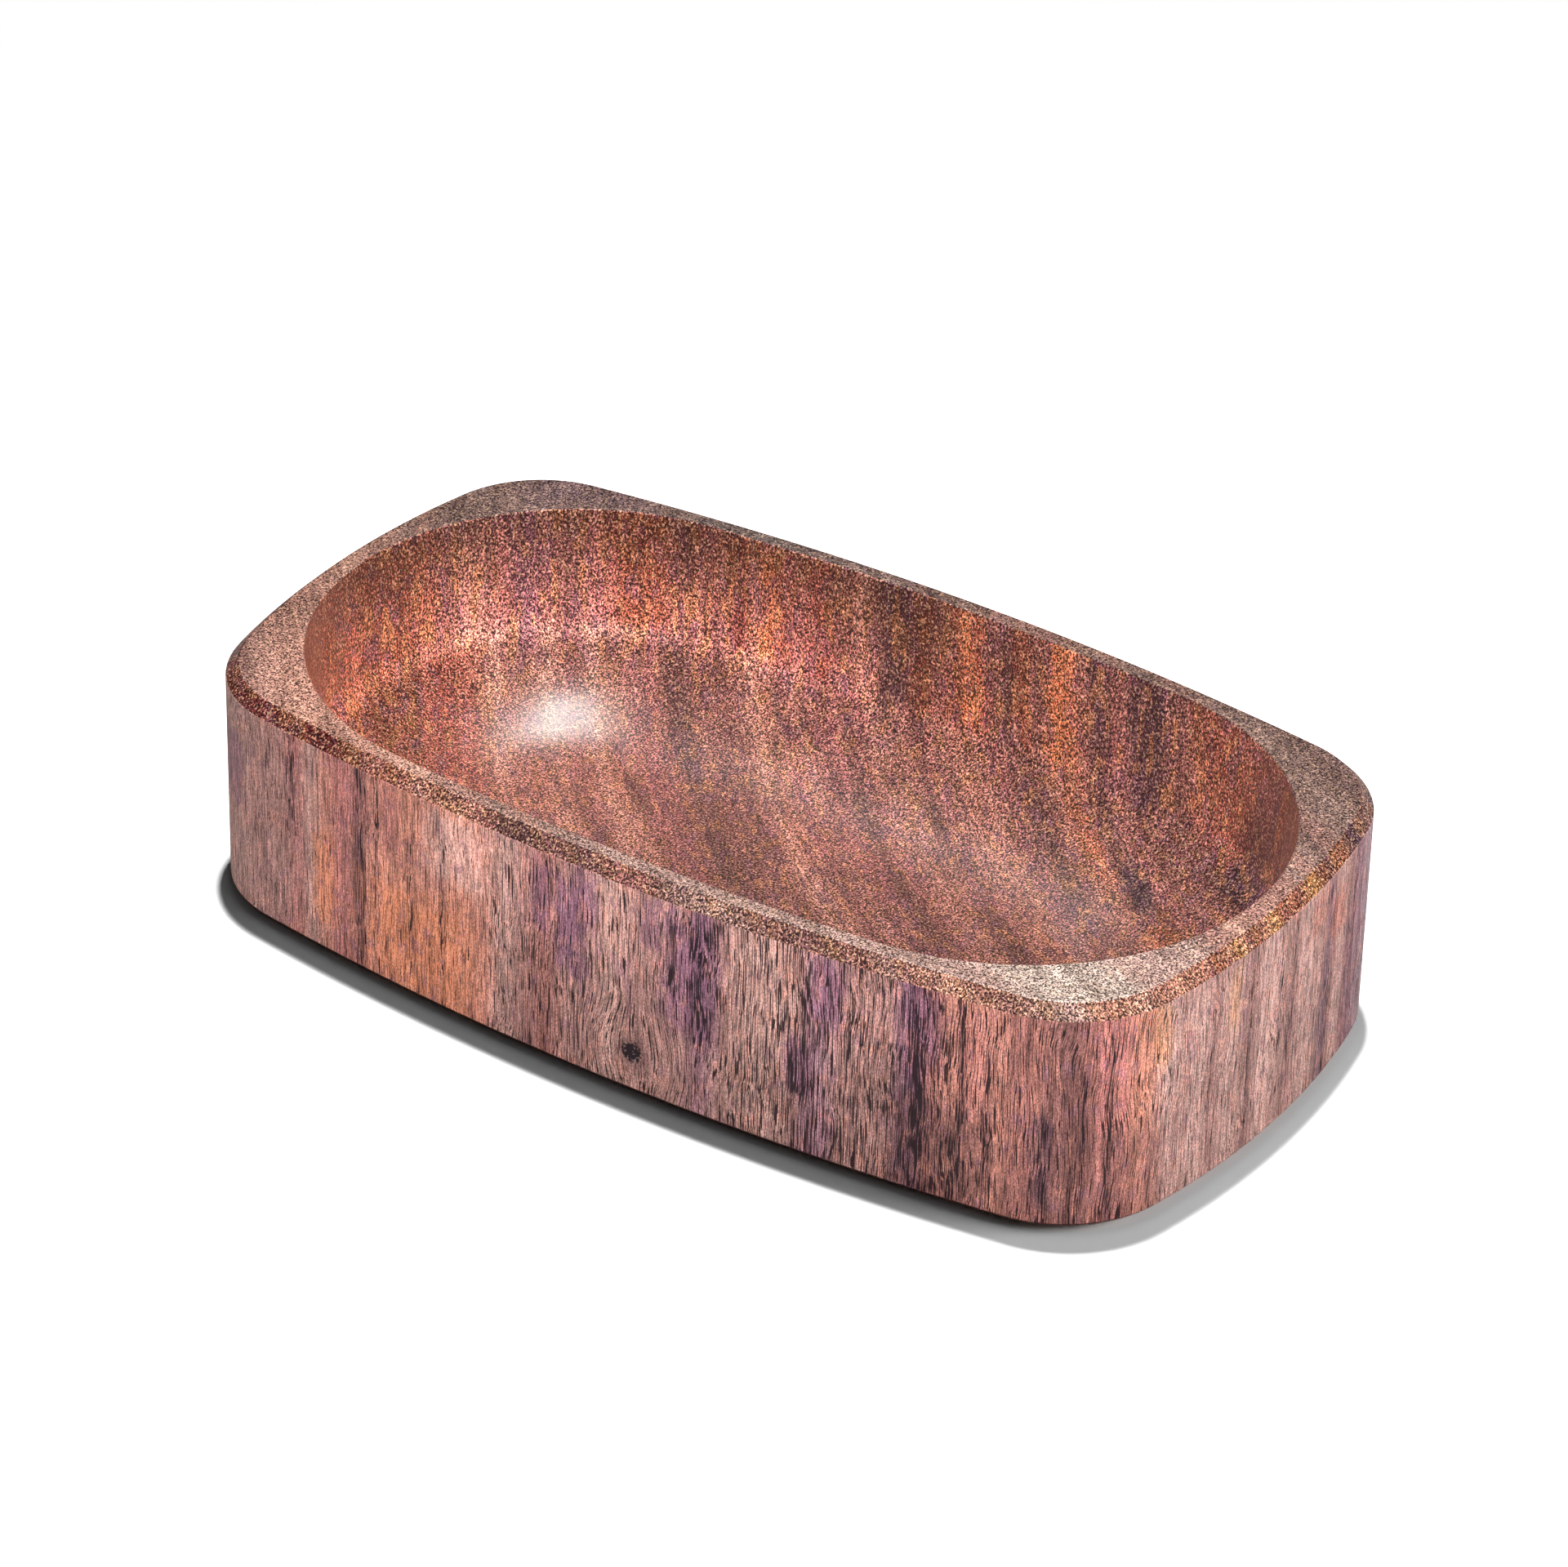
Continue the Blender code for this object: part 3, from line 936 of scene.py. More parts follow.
    def lines(self, place: Socket, radius: Socket, crowd: Socket) -> Socket:
        """The dark dashes, and the longer strands of the front's middle.

        Args:
            place: The point in millimetres.
            radius: The band radius.
            crowd: Where the lines crowd.

        Returns:
            A mask. Low levels and high strengths give more and darker lines.
        """
        graph = self.graph
        zone = self.coarse_zone(radius)
        level = graph.maths("MULTIPLY_ADD", crowd, self.crowd_level, self.line_level)
        level = graph.maths("MULTIPLY_ADD", zone, self.coarse_level, level)
        full = graph.maths("ADD", level, self.line_edge)
        dashes = self.marks(place, Marks(self.dash_size, level, full))
        strands = self.marks(place, Marks(self.strand_size, level, full))
        beside = graph.maths("ABSOLUTE", graph.maths("SUBTRACT", radius, self.strand_middle))
        flowing = graph.ease(beside, *self.strand_reach)
        dark = graph.maths("ADD", graph.maths("MULTIPLY", flowing, strands), dashes)
        strength = graph.maths("MULTIPLY_ADD", crowd, self.crowd_strength, self.line_strength)
        strength = graph.maths("MULTIPLY_ADD", zone, self.coarse_strength, strength)
        return graph.maths("MINIMUM", graph.maths("MULTIPLY", dark, strength), self.line_most)

    def coarse_zone(self, radius: Socket) -> Socket:
        """Where the side faces have coarse dashes.

        Args:
            radius: The band radius.

        Returns:
            A mask: full in the brown middle of the front, thin elsewhere.
        """
        outer = self.graph.ease(radius, *self.left_to_coarse, self.left_share, 1.0)
        inner = self.graph.ease(radius, *self.end_to_coarse, self.end_share, 1.0)
        return self.graph.maths("MULTIPLY", outer, inner)


@dataclass(kw_only=True)
class EndGrain(Wood):
    """Cut across the fibres: specks with painted glints, dark pores and growth bands.

    Runs are millimetres along the band radius, X, Y or the height, except for
    the steepnesses, which are the normal's share upwards.
    """

    name: str = "end_grain"
    bands: BandTable = RIM_BANDS_WITH_PAINTED_SHEEN
    wall_bands: BandTable | None = None
    patches: tuple[Patch, ...] = ()
    wall_patches: tuple[Patch, ...] = ()
    tint: float = 0.3
    # A share of pale shell tone washed over the colour: painted sheen.
    painted_sheen: float = 0.0
    # The factors below paint light and shade into the colour, partly the wood's own tone: on level faces, on
    # the walls high and low, at the right end, at the back and at the left.
    floor_tone_and_painted_light: float = 1.0
    high_wall_painted_light: float = 0.85
    low_wall_painted_light: float = 0.85
    right_high_painted_light: float = 0.82
    right_low_painted_light: float = 0.82
    back_painted_shade: float = 1.0
    left_painted_shade: float = 1.0
    floor_specks: float = 0.5
    wall_specks: float = 1.0
    pore_share: float = 0.6
    steepness: Run = (0.92, 0.3)
    wall_steepness: Run = (0.65, 0.25)
    high_to_right: Run = (130.0, 112.0)
    low_to_right: Run = (150.0, 125.0)
    rim_to_floor: Run = (33.0, 12.0)
    front_to_back: Run = (-8.0, 36.0)
    middle_to_left: Run = (-61.0, -69.0)
    floor_to_wall: Run = (8.0, 21.0)
    patch_fray: Size = (1.5, 4.0, 10.0)
    warm: Marks = Marks((1.1, 3.0, 6.0), 0.52, 0.62, detail=3.0)
    cold: Marks = Marks((1.3, 3.0, 5.0), 0.47, 0.38, detail=3.0)
    growth: Marks = Marks((0.7, 15.0, 24.0), 0.28, 0.72, 0.82, 1.18, 3.0)
    cloud: Marks = Marks((2.6, 7.0, 12.0), 0.28, 0.72, 0.8, 1.2, 4.0)
    crumbs: Marks = Marks((0.22, 0.22, 0.3), 0.43, 0.61, 0.25, 2.4)
    pores: Marks = Marks((0.34, 0.34, 0.5), 0.42, 0.36)
    specks: Marks = Marks((0.3, 0.3, 0.4), 0.58, 0.61)
    # The painted glints: their gain over the colour and their share of straw tone.
    painted_glint_gain: float = 3.4
    painted_glint_share: float = 0.5
    speck_depth: float = 0.04 * MM
    bump_strength: float = 0.5
    hue: tuple[float, float, float] = (1.0, 1.0, 1.0)

    def build(self) -> bpy.types.Material:
        """Build the material.

        Returns:
            The material.
        """
        graph = self.graph
        coordinates, rings = self.open()
        place, radius, sheet = rings["Place"], rings["Radius"], rings["Sheet"]
        height = graph.split(sheet)["Z"]
        upward = graph.split(coordinates["Normal"])["Z"]
        steep = graph.ease(upward, *self.steepness)

        colour = self.band_colour(radius, self.bands)
        broken = graph.noise(sheet, self.patch_fray, detail=4.0)
        spot = Spot(radius, rings["Along"], broken)
        colour = self.lay_patches(colour, spot, self.patches)
        if self.wall_bands is not None:
            wall = self.band_colour(radius, self.wall_bands)
            colour = graph.blend(graph.ease(upward, *self.wall_steepness), colour, wall)
        colour = self.lay_patches(colour, spot, self.wall_patches)
        for kind, tone in ((self.warm, Tone.GOLD), (self.cold, Tone.PLUM)):
            share = self.marks(sheet, replace(kind, high=self.tint))
            colour = graph.blend(share, colour, tone.colour)
        # Painted sheen: pale shell tone washed over the colour.
        colour = graph.blend(self.painted_sheen, colour, Tone.SHELL.colour)

        growth, cloud = self.marks(sheet, self.growth), self.marks(sheet, self.cloud)
        crumbs = self.marks(place, self.crumbs)
        # Painted light and shade: the colour is drawn lighter or darker by steepness, height and place.
        tone_and_painted_light = self.tone_and_painted_light(place, radius, height, steep)
        colour = graph.vector("MULTIPLY", graph.scale(colour, tone_and_painted_light, growth, cloud, crumbs), self.hue)
        pores = self.marks(place, replace(self.pores, high=self.pore_share))
        colour = graph.blend(pores, colour, Tone.INK.colour)
        # Painted glints: the specks are drawn as bright spots in the colour, stronger on the walls; they
        # also raise the bump.
        strength = graph.ease(height, *self.floor_to_wall, self.floor_specks, self.wall_specks)
        specks = self.marks(place, replace(self.specks, high=strength))
        painted_glint = graph.blend(self.painted_glint_share, graph.scale(colour, self.painted_glint_gain), Tone.STRAW.colour)
        colour = graph.blend(specks, colour, painted_glint)

        raised = graph.maths("SUBTRACT", specks, pores)
        normal = graph.bump(raised, self.speck_depth, self.bump_strength)
        return self.dress(colour, graph.maths("MULTIPLY", cloud, self.roughness), normal)

    def tone_and_painted_light(self, place: Socket, radius: Socket, height: Socket, steep: Socket) -> Socket:
        """Painted light and shade, partly the wood's own tone: how much lighter or darker the wood is drawn
        from place to place.

        Args:
            place: The point in millimetres.
            radius: The band radius.
            height: The height.
            steep: 1 on the walls, 0 on level faces.

        Returns:
            A factor.
        """
        graph = self.graph
        high = graph.ease(radius, *self.high_to_right, self.high_wall_painted_light, self.right_high_painted_light)
        low = graph.ease(radius, *self.low_to_right, self.low_wall_painted_light, self.right_low_painted_light)
        wall_painted_light = graph.ease(height, *self.rim_to_floor, high, low)
        parts = graph.split(place)
        back_painted_shade = self.floor_tone_and_painted_light * self.back_painted_shade
        level_painted_light = graph.ease(parts["Y"], *self.front_to_back, self.floor_tone_and_painted_light, back_painted_shade)
        left = graph.ease(parts["X"], *self.middle_to_left, 1.0, self.left_painted_shade)
        level_painted_light = graph.maths("MULTIPLY", level_painted_light, left)
        return graph.ease(steep, 0.0, 1.0, level_painted_light, wall_painted_light)


@dataclass(kw_only=True)
class Rubber(Finish):
    """Matt black moulded rubber with a fine grain and a little dust."""

    name: str = "pad_rubber"
    colour: tuple[int, int, int] = (42, 42, 44)
    grain_size: Size = (0.25, 0.25, 0.25)
    dust_size: Size = (3.0, 3.0, 3.0)
    dust: Run = (0.45, 0.8)
    dust_share: float = 0.25
    roughness: float = 0.6
    roughness_swing: float = 0.2
    grain_depth: float = 0.03 * MM
    bump_strength: float = 0.6

    def build(self) -> bpy.types.Material:
        """Build the material.

        Returns:
            The material.
        """
        graph = self.graph
        object_place = graph.add("ShaderNodeTexCoord").outputs["Object"]
        place = graph.vector("MULTIPLY", object_place, (MM_PER_METRE,) * 3)
        grain = graph.noise(place, self.grain_size, detail=3.0)
        dust = graph.noise(place, self.dust_size, detail=4.0)
        tint = graph.ease(dust, *self.dust, 0.0, self.dust_share)
        colour = graph.blend(tint, linear_colour(self.colour), Tone.LILAC.colour)
        rough = graph.maths("MULTIPLY_ADD", grain, self.roughness_swing, self.roughness)
        return self.dress(colour, rough, graph.bump(grain, self.grain_depth, self.bump_strength))


class Surface(Enum):
    """The dish's cut surfaces, numbered as its material slots."""

    SIDE = 0
    CHAMFER = 1
    RIM = 2
    BOWL = 3
    UNDERSIDE = 4


@dataclass(frozen=True)
class Arc:
    """A stretch of an outline."""

    centre: tuple[float, float]
    angle: float
    steps: int


@dataclass
class DishBody:
    """The dish, hollowed from one block of end-grain wood."""

    groups: NodeGroups
    low: Vector
    high: Vector
    pads: list[tuple[Vector, Vector]]
    side_bow_radius: float = 387.5 * MM
    end_bow_radius: float = 115.0 * MM
    corner_radius: float = 17.5 * MM
    top_chamfer: float = 1.75 * MM
    foot_chamfer: float = 0.6 * MM
    side_rim_width: float = 4.0 * MM
    end_rim_width: float = 4.5 * MM
    bowl_depth: float = 27.0 * MM
    wall_draft: float = math.radians(6.0)
    wall_blend_radius: float = 7.0 * MM
    dish_radius: float = 33.0 * MM
    dish_slope: float = math.radians(40.0)
    pad_clearance: float = 0.3 * MM
    sharp_angle: float = math.radians(20.0)
    eased: dict[str, float] = field(
        default_factory=lambda: {"mouth": 0.35 * MM, "rim": 0.22 * MM, "wall": 0.2 * MM, "foot": 0.12 * MM},
    )
    ease_steps: int = 3
    end_steps: int = 22
    corner_steps: int = 24
    side_steps: int = 48
    blend_steps: int = 12
    dish_steps: int = 20
    recess_steps: int = 64

    def outer_arcs(self) -> list[Arc]:
        """The block's quarter outline, from +X round to +Y.

        Returns:
            The end's bow, the corner and the side's bow, tangent to each other.
        """
        half_length, half_width = self.high.x, self.high.y
        side_y = half_width - self.side_bow_radius
        end_x = half_length - self.end_bow_radius
        to_side = self.side_bow_radius - self.corner_radius
        to_end = self.end_bow_radius - self.corner_radius
        apart = math.hypot(end_x, side_y)
        along = (to_side**2 - to_end**2 + apart**2) / (2 * apart)
        across = math.sqrt(to_side**2 - along**2)
        unit_x, unit_y = end_x / apart, -side_y / apart
        crossings = []
        for offset in (across, -across):
            x = along * unit_x - offset * unit_y
            y = side_y + along * unit_y + offset * unit_x
            crossings.append((x, y))
        corner = max(crossings)
        end_angle = math.atan2(corner[1], corner[0] - end_x)
        side_angle = math.atan2(corner[1] - side_y, corner[0])
        return [
            Arc((end_x, 0.0), end_angle, self.end_steps),
            Arc(corner, side_angle - end_angle, self.corner_steps),
            Arc((0.0, side_y), math.pi / 2 - side_angle, self.side_steps),
        ]

    def mouth_arcs(self) -> list[Arc]:
        """The bowl's quarter mouth, from +X round to +Y.

        Returns:
            A round end, and a side that keeps the rim's width.
        """
        half_length = self.high.x - self.end_rim_width
        half_width = self.high.y - self.side_rim_width
        side_radius = self.side_bow_radius - self.side_rim_width
        side_y = half_width - side_radius
        past_end = side_radius - half_length
        end_x = (side_y**2 - past_end**2) / (2 * past_end)
        side_angle = math.atan2(-side_y, end_x)
        return [
            Arc((end_x, 0.0), side_angle, self.end_steps + self.corner_steps),
            Arc((0.0, side_y), math.pi / 2 - side_angle, self.side_steps),
        ]

    def draw_loop(self, bm: bmesh.types.BMesh, start: float, arcs: list[Arc], height: float) -> list:
        """Draw a closed outline by spinning a vertex and mirroring its way.

        Args:
            bm: The mesh that takes the outline.
            start: Where on +X the quarter starts.
            arcs: The quarter's arcs.
            height: The outline's height.

        Returns:
            The outline's edges.
        """
        loop = bmesh.new()
        tip = [loop.verts.new((start, 0.0, height))]
        for arc in arcs:
            centre = (*arc.centre, height)
            turned = bmesh.ops.spin(
                loop, geom=tip, cent=centre, axis=(0, 0, 1), angle=arc.angle, steps=arc.steps,
            )
            tip = [part for part in turned["geom_last"] if isinstance(part, bmesh.types.BMVert)]
        for axis in "XY":
            whole = loop.verts[:] + loop.edges[:]
            bmesh.ops.mirror(loop, geom=whole, matrix=Matrix.Identity(4), merge_dist=COARSE_GAP, axis=axis)
        bmesh.ops.remove_doubles(loop, verts=loop.verts[:], dist=COARSE_GAP)
        mesh = bpy.data.meshes.new("outline")
        loop.to_mesh(mesh)
        loop.free()
        before = set(bm.edges)
        bm.from_mesh(mesh)
        bpy.data.meshes.remove(mesh)
        return [edge for edge in bm.edges if edge not in before]

    def cap(self, bm: bmesh.types.BMesh, edges: list, surface: Surface, up: bool) -> bmesh.types.BMFace:
        """Close a loop with one face.

        Args:
            bm: The mesh.
            edges: The loop.
            surface: What the face belongs to.
            up: Whether it looks up.

        Returns:
            The face.
        """
        made = bmesh.ops.contextual_create(bm, geom=edges)["faces"][0]
        made.normal_update()
        if (made.normal.z > 0) != up:
            made.normal_flip()
        made.material_index = surface.value
        return made

    def step_in(
        self, bm: bmesh.types.BMesh, face: bmesh.types.BMFace, inset: float, rise: float, surface: Surface,
    ) -> None:
        """Inset a face and move it along its normal.

        Args:
            bm: The mesh.
            face: The face.
            inset: How far its border moves in.
            rise: How far it moves along its normal.
            surface: What the new strip belongs to.
        """
        made = bmesh.ops.inset_region(
            bm, faces=[face], thickness=inset, depth=rise, use_even_offset=True,
        )["faces"]
        for strip in made:
            strip.material_index = surface.value

    def bowl_steps(self) -> list[tuple[float, float]]:
        """The way down the bowl's wall, blend and dished floor.

        Returns:
            Steps of (inset, drop).
        """
        wall_slope = math.pi / 2 - self.wall_draft
        blend_drop = self.wall_blend_radius * (math.cos(self.dish_slope) - math.cos(wall_slope))
        dish_drop = self.dish_radius * (1 - math.cos(self.dish_slope))
        wall_depth = self.bowl_depth - blend_drop - dish_drop
        steps = [(wall_depth * math.tan(self.wall_draft), wall_depth)]
        steps += self.round_steps(self.wall_blend_radius, wall_slope, self.dish_slope, self.blend_steps)
        steps += self.round_steps(self.dish_radius, self.dish_slope, 0.0, self.dish_steps)
        return steps

    def round_steps(self, radius: float, slope: float, next_slope: float, count: int) -> list:
        """Steps of (inset, drop) along an arc.

        Args:
            radius: The arc's radius.
            slope: The slope at its start.
            next_slope: The slope at its end.
            count: How many steps it takes.

        Returns:
            The steps.
        """
        slopes = [slope + (next_slope - slope) * step / count for step in range(count + 1)]
        steps = []
        for here, there in zip(slopes, slopes[1:]):
            inset = radius * (math.sin(here) - math.sin(there))
            steps.append((inset, radius * (math.cos(there) - math.cos(here))))
        return steps

    def make_walls(self, bm: bmesh.types.BMesh) -> None:
        """The side wall, both chamfers, the rim and the bowl.

        Args:
            bm: The mesh.
        """
        foot_height = self.low.z + self.foot_chamfer
        outline = self.draw_loop(bm, self.high.x, self.outer_arcs(), foot_height)
        raised = bmesh.ops.extrude_edge_only(bm, edges=outline)["geom"]
        for part in raised:
            if isinstance(part, bmesh.types.BMFace):
                part.material_index = Surface.SIDE.value
        corners = [part for part in raised if isinstance(part, bmesh.types.BMVert)]
        rise = self.high.z - self.top_chamfer - foot_height
        bmesh.ops.translate(bm, verts=corners, vec=(0, 0, rise))
        upper = [part for part in raised if isinstance(part, bmesh.types.BMEdge)]
        upper = [edge for edge in upper if all(end in corners for end in edge.verts)]

        foot = self.cap(bm, outline, Surface.UNDERSIDE, up=False)
        self.step_in(bm, foot, self.foot_chamfer, self.foot_chamfer, Surface.SIDE)
        self.make_underside(bm, foot)

        top = self.cap(bm, upper, Surface.RIM, up=True)
        self.step_in(bm, top, self.top_chamfer, self.top_chamfer, Surface.CHAMFER)
        rim_edges = top.edges[:]
        bmesh.ops.delete(bm, geom=[top], context="FACES_ONLY")
        mouth = self.draw_loop(bm, self.high.x - self.end_rim_width, self.mouth_arcs(), self.high.z)
        for strip in bmesh.ops.bridge_loops(bm, edges=rim_edges + mouth)["faces"]:
            strip.material_index = Surface.RIM.value
        face = self.cap(bm, mouth, Surface.BOWL, up=True)
        for inset, drop in self.bowl_steps():
            self.step_in(bm, face, inset, -drop, Surface.BOWL)

    def make_underside(self, bm: bmesh.types.BMesh, foot: bmesh.types.BMFace) -> None:
        """Fill the underside round the pads' recesses.

        Args:
            bm: The mesh.
            foot: The face that closes the underside so far.
        """
        border = foot.edges[:]
        bmesh.ops.delete(bm, geom=[foot], context="FACES_ONLY")
        circles = []
        for low, high in self.pads:
            radius = (high.x - low.x) / 2 + self.pad_clearance
            middle = Vector(((low.x + high.x) / 2, (low.y + high.y) / 2, self.low.z))
            verts = bmesh.ops.create_circle(
                bm, segments=self.recess_steps, radius=radius, matrix=Matrix.Translation(middle),
            )["verts"]
            ring = list({edge for vert in verts for edge in vert.link_edges})
            circles.append((ring, high.z + self.pad_clearance - self.low.z))
        edges = border + [edge for ring, _ in circles for edge in ring]
        filled = bmesh.ops.triangle_fill(bm, edges=edges, use_beauty=True, use_dissolve=False)
        for part in filled["geom"]:
            if isinstance(part, bmesh.types.BMFace):
                part.material_index = Surface.UNDERSIDE.value
        for ring, depth in circles:
            sunk = bmesh.ops.extrude_edge_only(bm, edges=ring)["geom"]
            corners = [part for part in sunk if isinstance(part, bmesh.types.BMVert)]
            bmesh.ops.translate(bm, verts=corners, vec=(0, 0, depth))
            inner = [part for part in sunk if isinstance(part, bmesh.types.BMEdge)]
            inner = [edge for edge in inner if all(end in corners for end in edge.verts)]
            bmesh.ops.contextual_create(bm, geom=inner)
            for face in {face for vert in corners for face in vert.link_faces}:
                face.material_index = Surface.UNDERSIDE.value

    def ease_edges(self, bm: bmesh.types.BMesh) -> None:
        """Round the long edges a little, as sanding leaves them.

        Args:
            bm: The mesh.
        """
        bmesh.ops.recalc_face_normals(bm, faces=bm.faces[:])
        chamfer_foot = self.high.z - self.top_chamfer
        wall_foot = self.low.z + self.foot_chamfer
        sharp = [edge for edge in bm.edges if edge.calc_face_angle(0.0) > self.sharp_angle]
        found: dict[str, list] = {name: [] for name in self.eased}
        for edge in sharp:
            height = edge.verts[0].co.z
            if abs(height - edge.verts[1].co.z) > COARSE_GAP:
                continue
            if abs(height - wall_foot) < COARSE_GAP:
                found["foot"].append(edge)
            elif abs(height - chamfer_foot) < COARSE_GAP:
                found["wall"].append(edge)
            elif abs(height - self.high.z) < COARSE_GAP:
                inside = any(face.material_index == Surface.BOWL.value for face in edge.link_faces)
                found["mouth" if inside else "rim"].append(edge)
        for name, edges in found.items():
            bmesh.ops.bevel(
                bm, geom=edges, offset=self.eased[name], offset_type="OFFSET",
                segments=self.ease_steps, profile=0.5, affect="EDGES", material=-1,
            )

    def finishes(self) -> list[Wood]:
        """The wood finishes.

        Returns:
            A finish for each surface, in the surfaces' order.
        """
        groups = self.groups
        return [
            SideGrain(groups=groups),
            # The chamfer's factors paint light and shade into its colour.
            EndGrain(
                groups=groups, name="chamfer_grain", bands=CHAMFER_BANDS, floor_tone_and_painted_light=0.63,
                high_wall_painted_light=0.66, right_high_painted_light=0.68, floor_specks=1.0, pore_share=0.9, roughness=0.45,
            ),
            # The rim has painted sheen washed over it, and painted shade on its back and left stretches.
            EndGrain(
                groups=groups, name="rim_grain", patches=RIM_PAINTED_SHADE, tint=0.1, painted_sheen=0.2,
                floor_tone_and_painted_light=0.98, back_painted_shade=0.54, left_painted_shade=0.72, wall_specks=0.65, pore_share=0.85,
                crumbs=Marks((0.22, 0.22, 0.3), 0.4, 0.54, 0.1, 1.42), roughness=0.4,
            ),
            # The bowl's walls are drawn darker high up and lighter low down: painted light and shade.
            EndGrain(
                groups=groups, name="bowl_grain", bands=BOWL_BANDS, wall_bands=WALL_BANDS,
                patches=BOWL_PATCHES, wall_patches=WALL_PATCHES, tint=0.5, floor_tone_and_painted_light=0.67,
                high_wall_painted_light=0.42, low_wall_painted_light=1.88, right_high_painted_light=0.84, right_low_painted_light=0.96,
                roughness=0.36, coat=1.0, coat_roughness=0.25, pore_share=0.9, floor_specks=0.75,
                hue=(1.0, 0.92, 0.97),
            ),
            EndGrain(groups=groups, name="underside_grain", roughness=0.6, coat=0.0),
        ]

    def build(self) -> bpy.types.Object:
        """Model the dish, dress it and place it on the frame.

        Returns:
            The finished piece.
        """
        bm = bmesh.new()
        self.make_walls(bm)
        self.ease_edges(bm)
        bmesh.ops.remove_doubles(bm, verts=bm.verts[:], dist=FINE_GAP)
        bmesh.ops.recalc_face_normals(bm, faces=bm.faces[:])
        piece = finish_piece("wooden_dish_body", bm, self.sharp_angle)
        for wood in self.finishes():
            piece.data.materials.append(wood.build())
        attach(piece, BODY)
        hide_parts("dish_body")
        return piece


@dataclass
class Pad:
    """A turned rubber pad with rounded edges and a groove in its sole."""

    node: str
    material: bpy.types.Material
    steps: int = 64
    round_steps: int = 4
    sole_round: float = 0.4 * MM
    top_round: float = 0.2 * MM
    groove_share: float = 0.62
    groove_width: float = 0.5 * MM
    groove_depth: float = 0.15 * MM
    sharp_angle: float = math.radians(35.0)

    def build(self) -> bpy.types.Object:
        """Turn the pad where its node lies.

        Returns:
            The finished piece.
        """
        low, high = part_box(self.node)
        radius = (high.x - low.x) / 2
        bm = bmesh.new()
        centre = bm.verts.new((0, 0, low.z))
        line = [(radius * self.groove_share, low.z)]
        line.append((line[0][0] + self.groove_width / 2, low.z + self.groove_depth))
        line.append((line[0][0] + self.groove_width, low.z))
        line += [(radius, low.z), (radius, high.z), (0.0, high.z)]
        last = centre
        for x, z in line:
            point = bm.verts.new((x, 0.0, z))
            bm.edges.new((last, point))
            last = point
        bmesh.ops.spin(
            bm, geom=bm.verts[:] + bm.edges[:], cent=(0, 0, 0), axis=(0, 0, 1),
            angle=math.tau, steps=self.steps, use_merge=True,
        )
        bmesh.ops.remove_doubles(bm, verts=bm.verts[:], dist=FINE_GAP)
        self.round_edges(bm, radius, low.z, self.sole_round)
        self.round_edges(bm, radius, high.z, self.top_round)
        bmesh.ops.recalc_face_normals(bm, faces=bm.faces[:])
        place = ((low.x + high.x) / 2, (low.y + high.y) / 2, 0.0)
        bmesh.ops.translate(bm, verts=bm.verts[:], vec=place)
        piece = finish_piece("rubber_" + self.node, bm, self.sharp_angle)
        piece.data.materials.append(self.material)
        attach(piece, BODY)
        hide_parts(self.node)
        return piece

    def round_edges(self, bm: bmesh.types.BMesh, radius: float, height: float, amount: float) -> None:
        """Round one outer rim.

        Args:
            bm: The pad's mesh.
            radius: The rim's radius.
            height: The rim's height.
            amount: The rounding's width.
        """
        rim = []
        for edge in bm.edges:
            ends = edge.verts
            level = all(abs(end.co.z - height) < FINE_GAP for end in ends)
            if level and all(abs(end.co.xy.length - radius) < FINE_GAP for end in ends):
                rim.append(edge)
        bmesh.ops.bevel(
            bm, geom=rim, offset=amount, offset_type="OFFSET",
            segments=self.round_steps, profile=0.5, affect="EDGES", material=-1,
        )


def finish_piece(name: str, bm: bmesh.types.BMesh, sharp_angle: float) -> bpy.types.Object:
    """Turn a bmesh into a smooth piece in the scene.

    Args:
        name: The piece's name.
        bm: Its mesh, which is freed.
        sharp_angle: The angle above which an edge stays sharp.

    Returns:
        The piece, with normals that flat faces keep flat.
    """
    mesh = bpy.data.meshes.new(name)
    bm.to_mesh(mesh)
    bm.free()
    mesh.shade_smooth()
    mesh.set_sharp_from_angle(angle=sharp_angle)
    piece = bpy.data.objects.new(name, mesh)
    bpy.context.scene.collection.objects.link(piece)
    weighted = piece.modifiers.new("flat faces stay flat", "WEIGHTED_NORMAL")
    weighted.keep_sharp = True
    weighted.weight = 100
    return piece


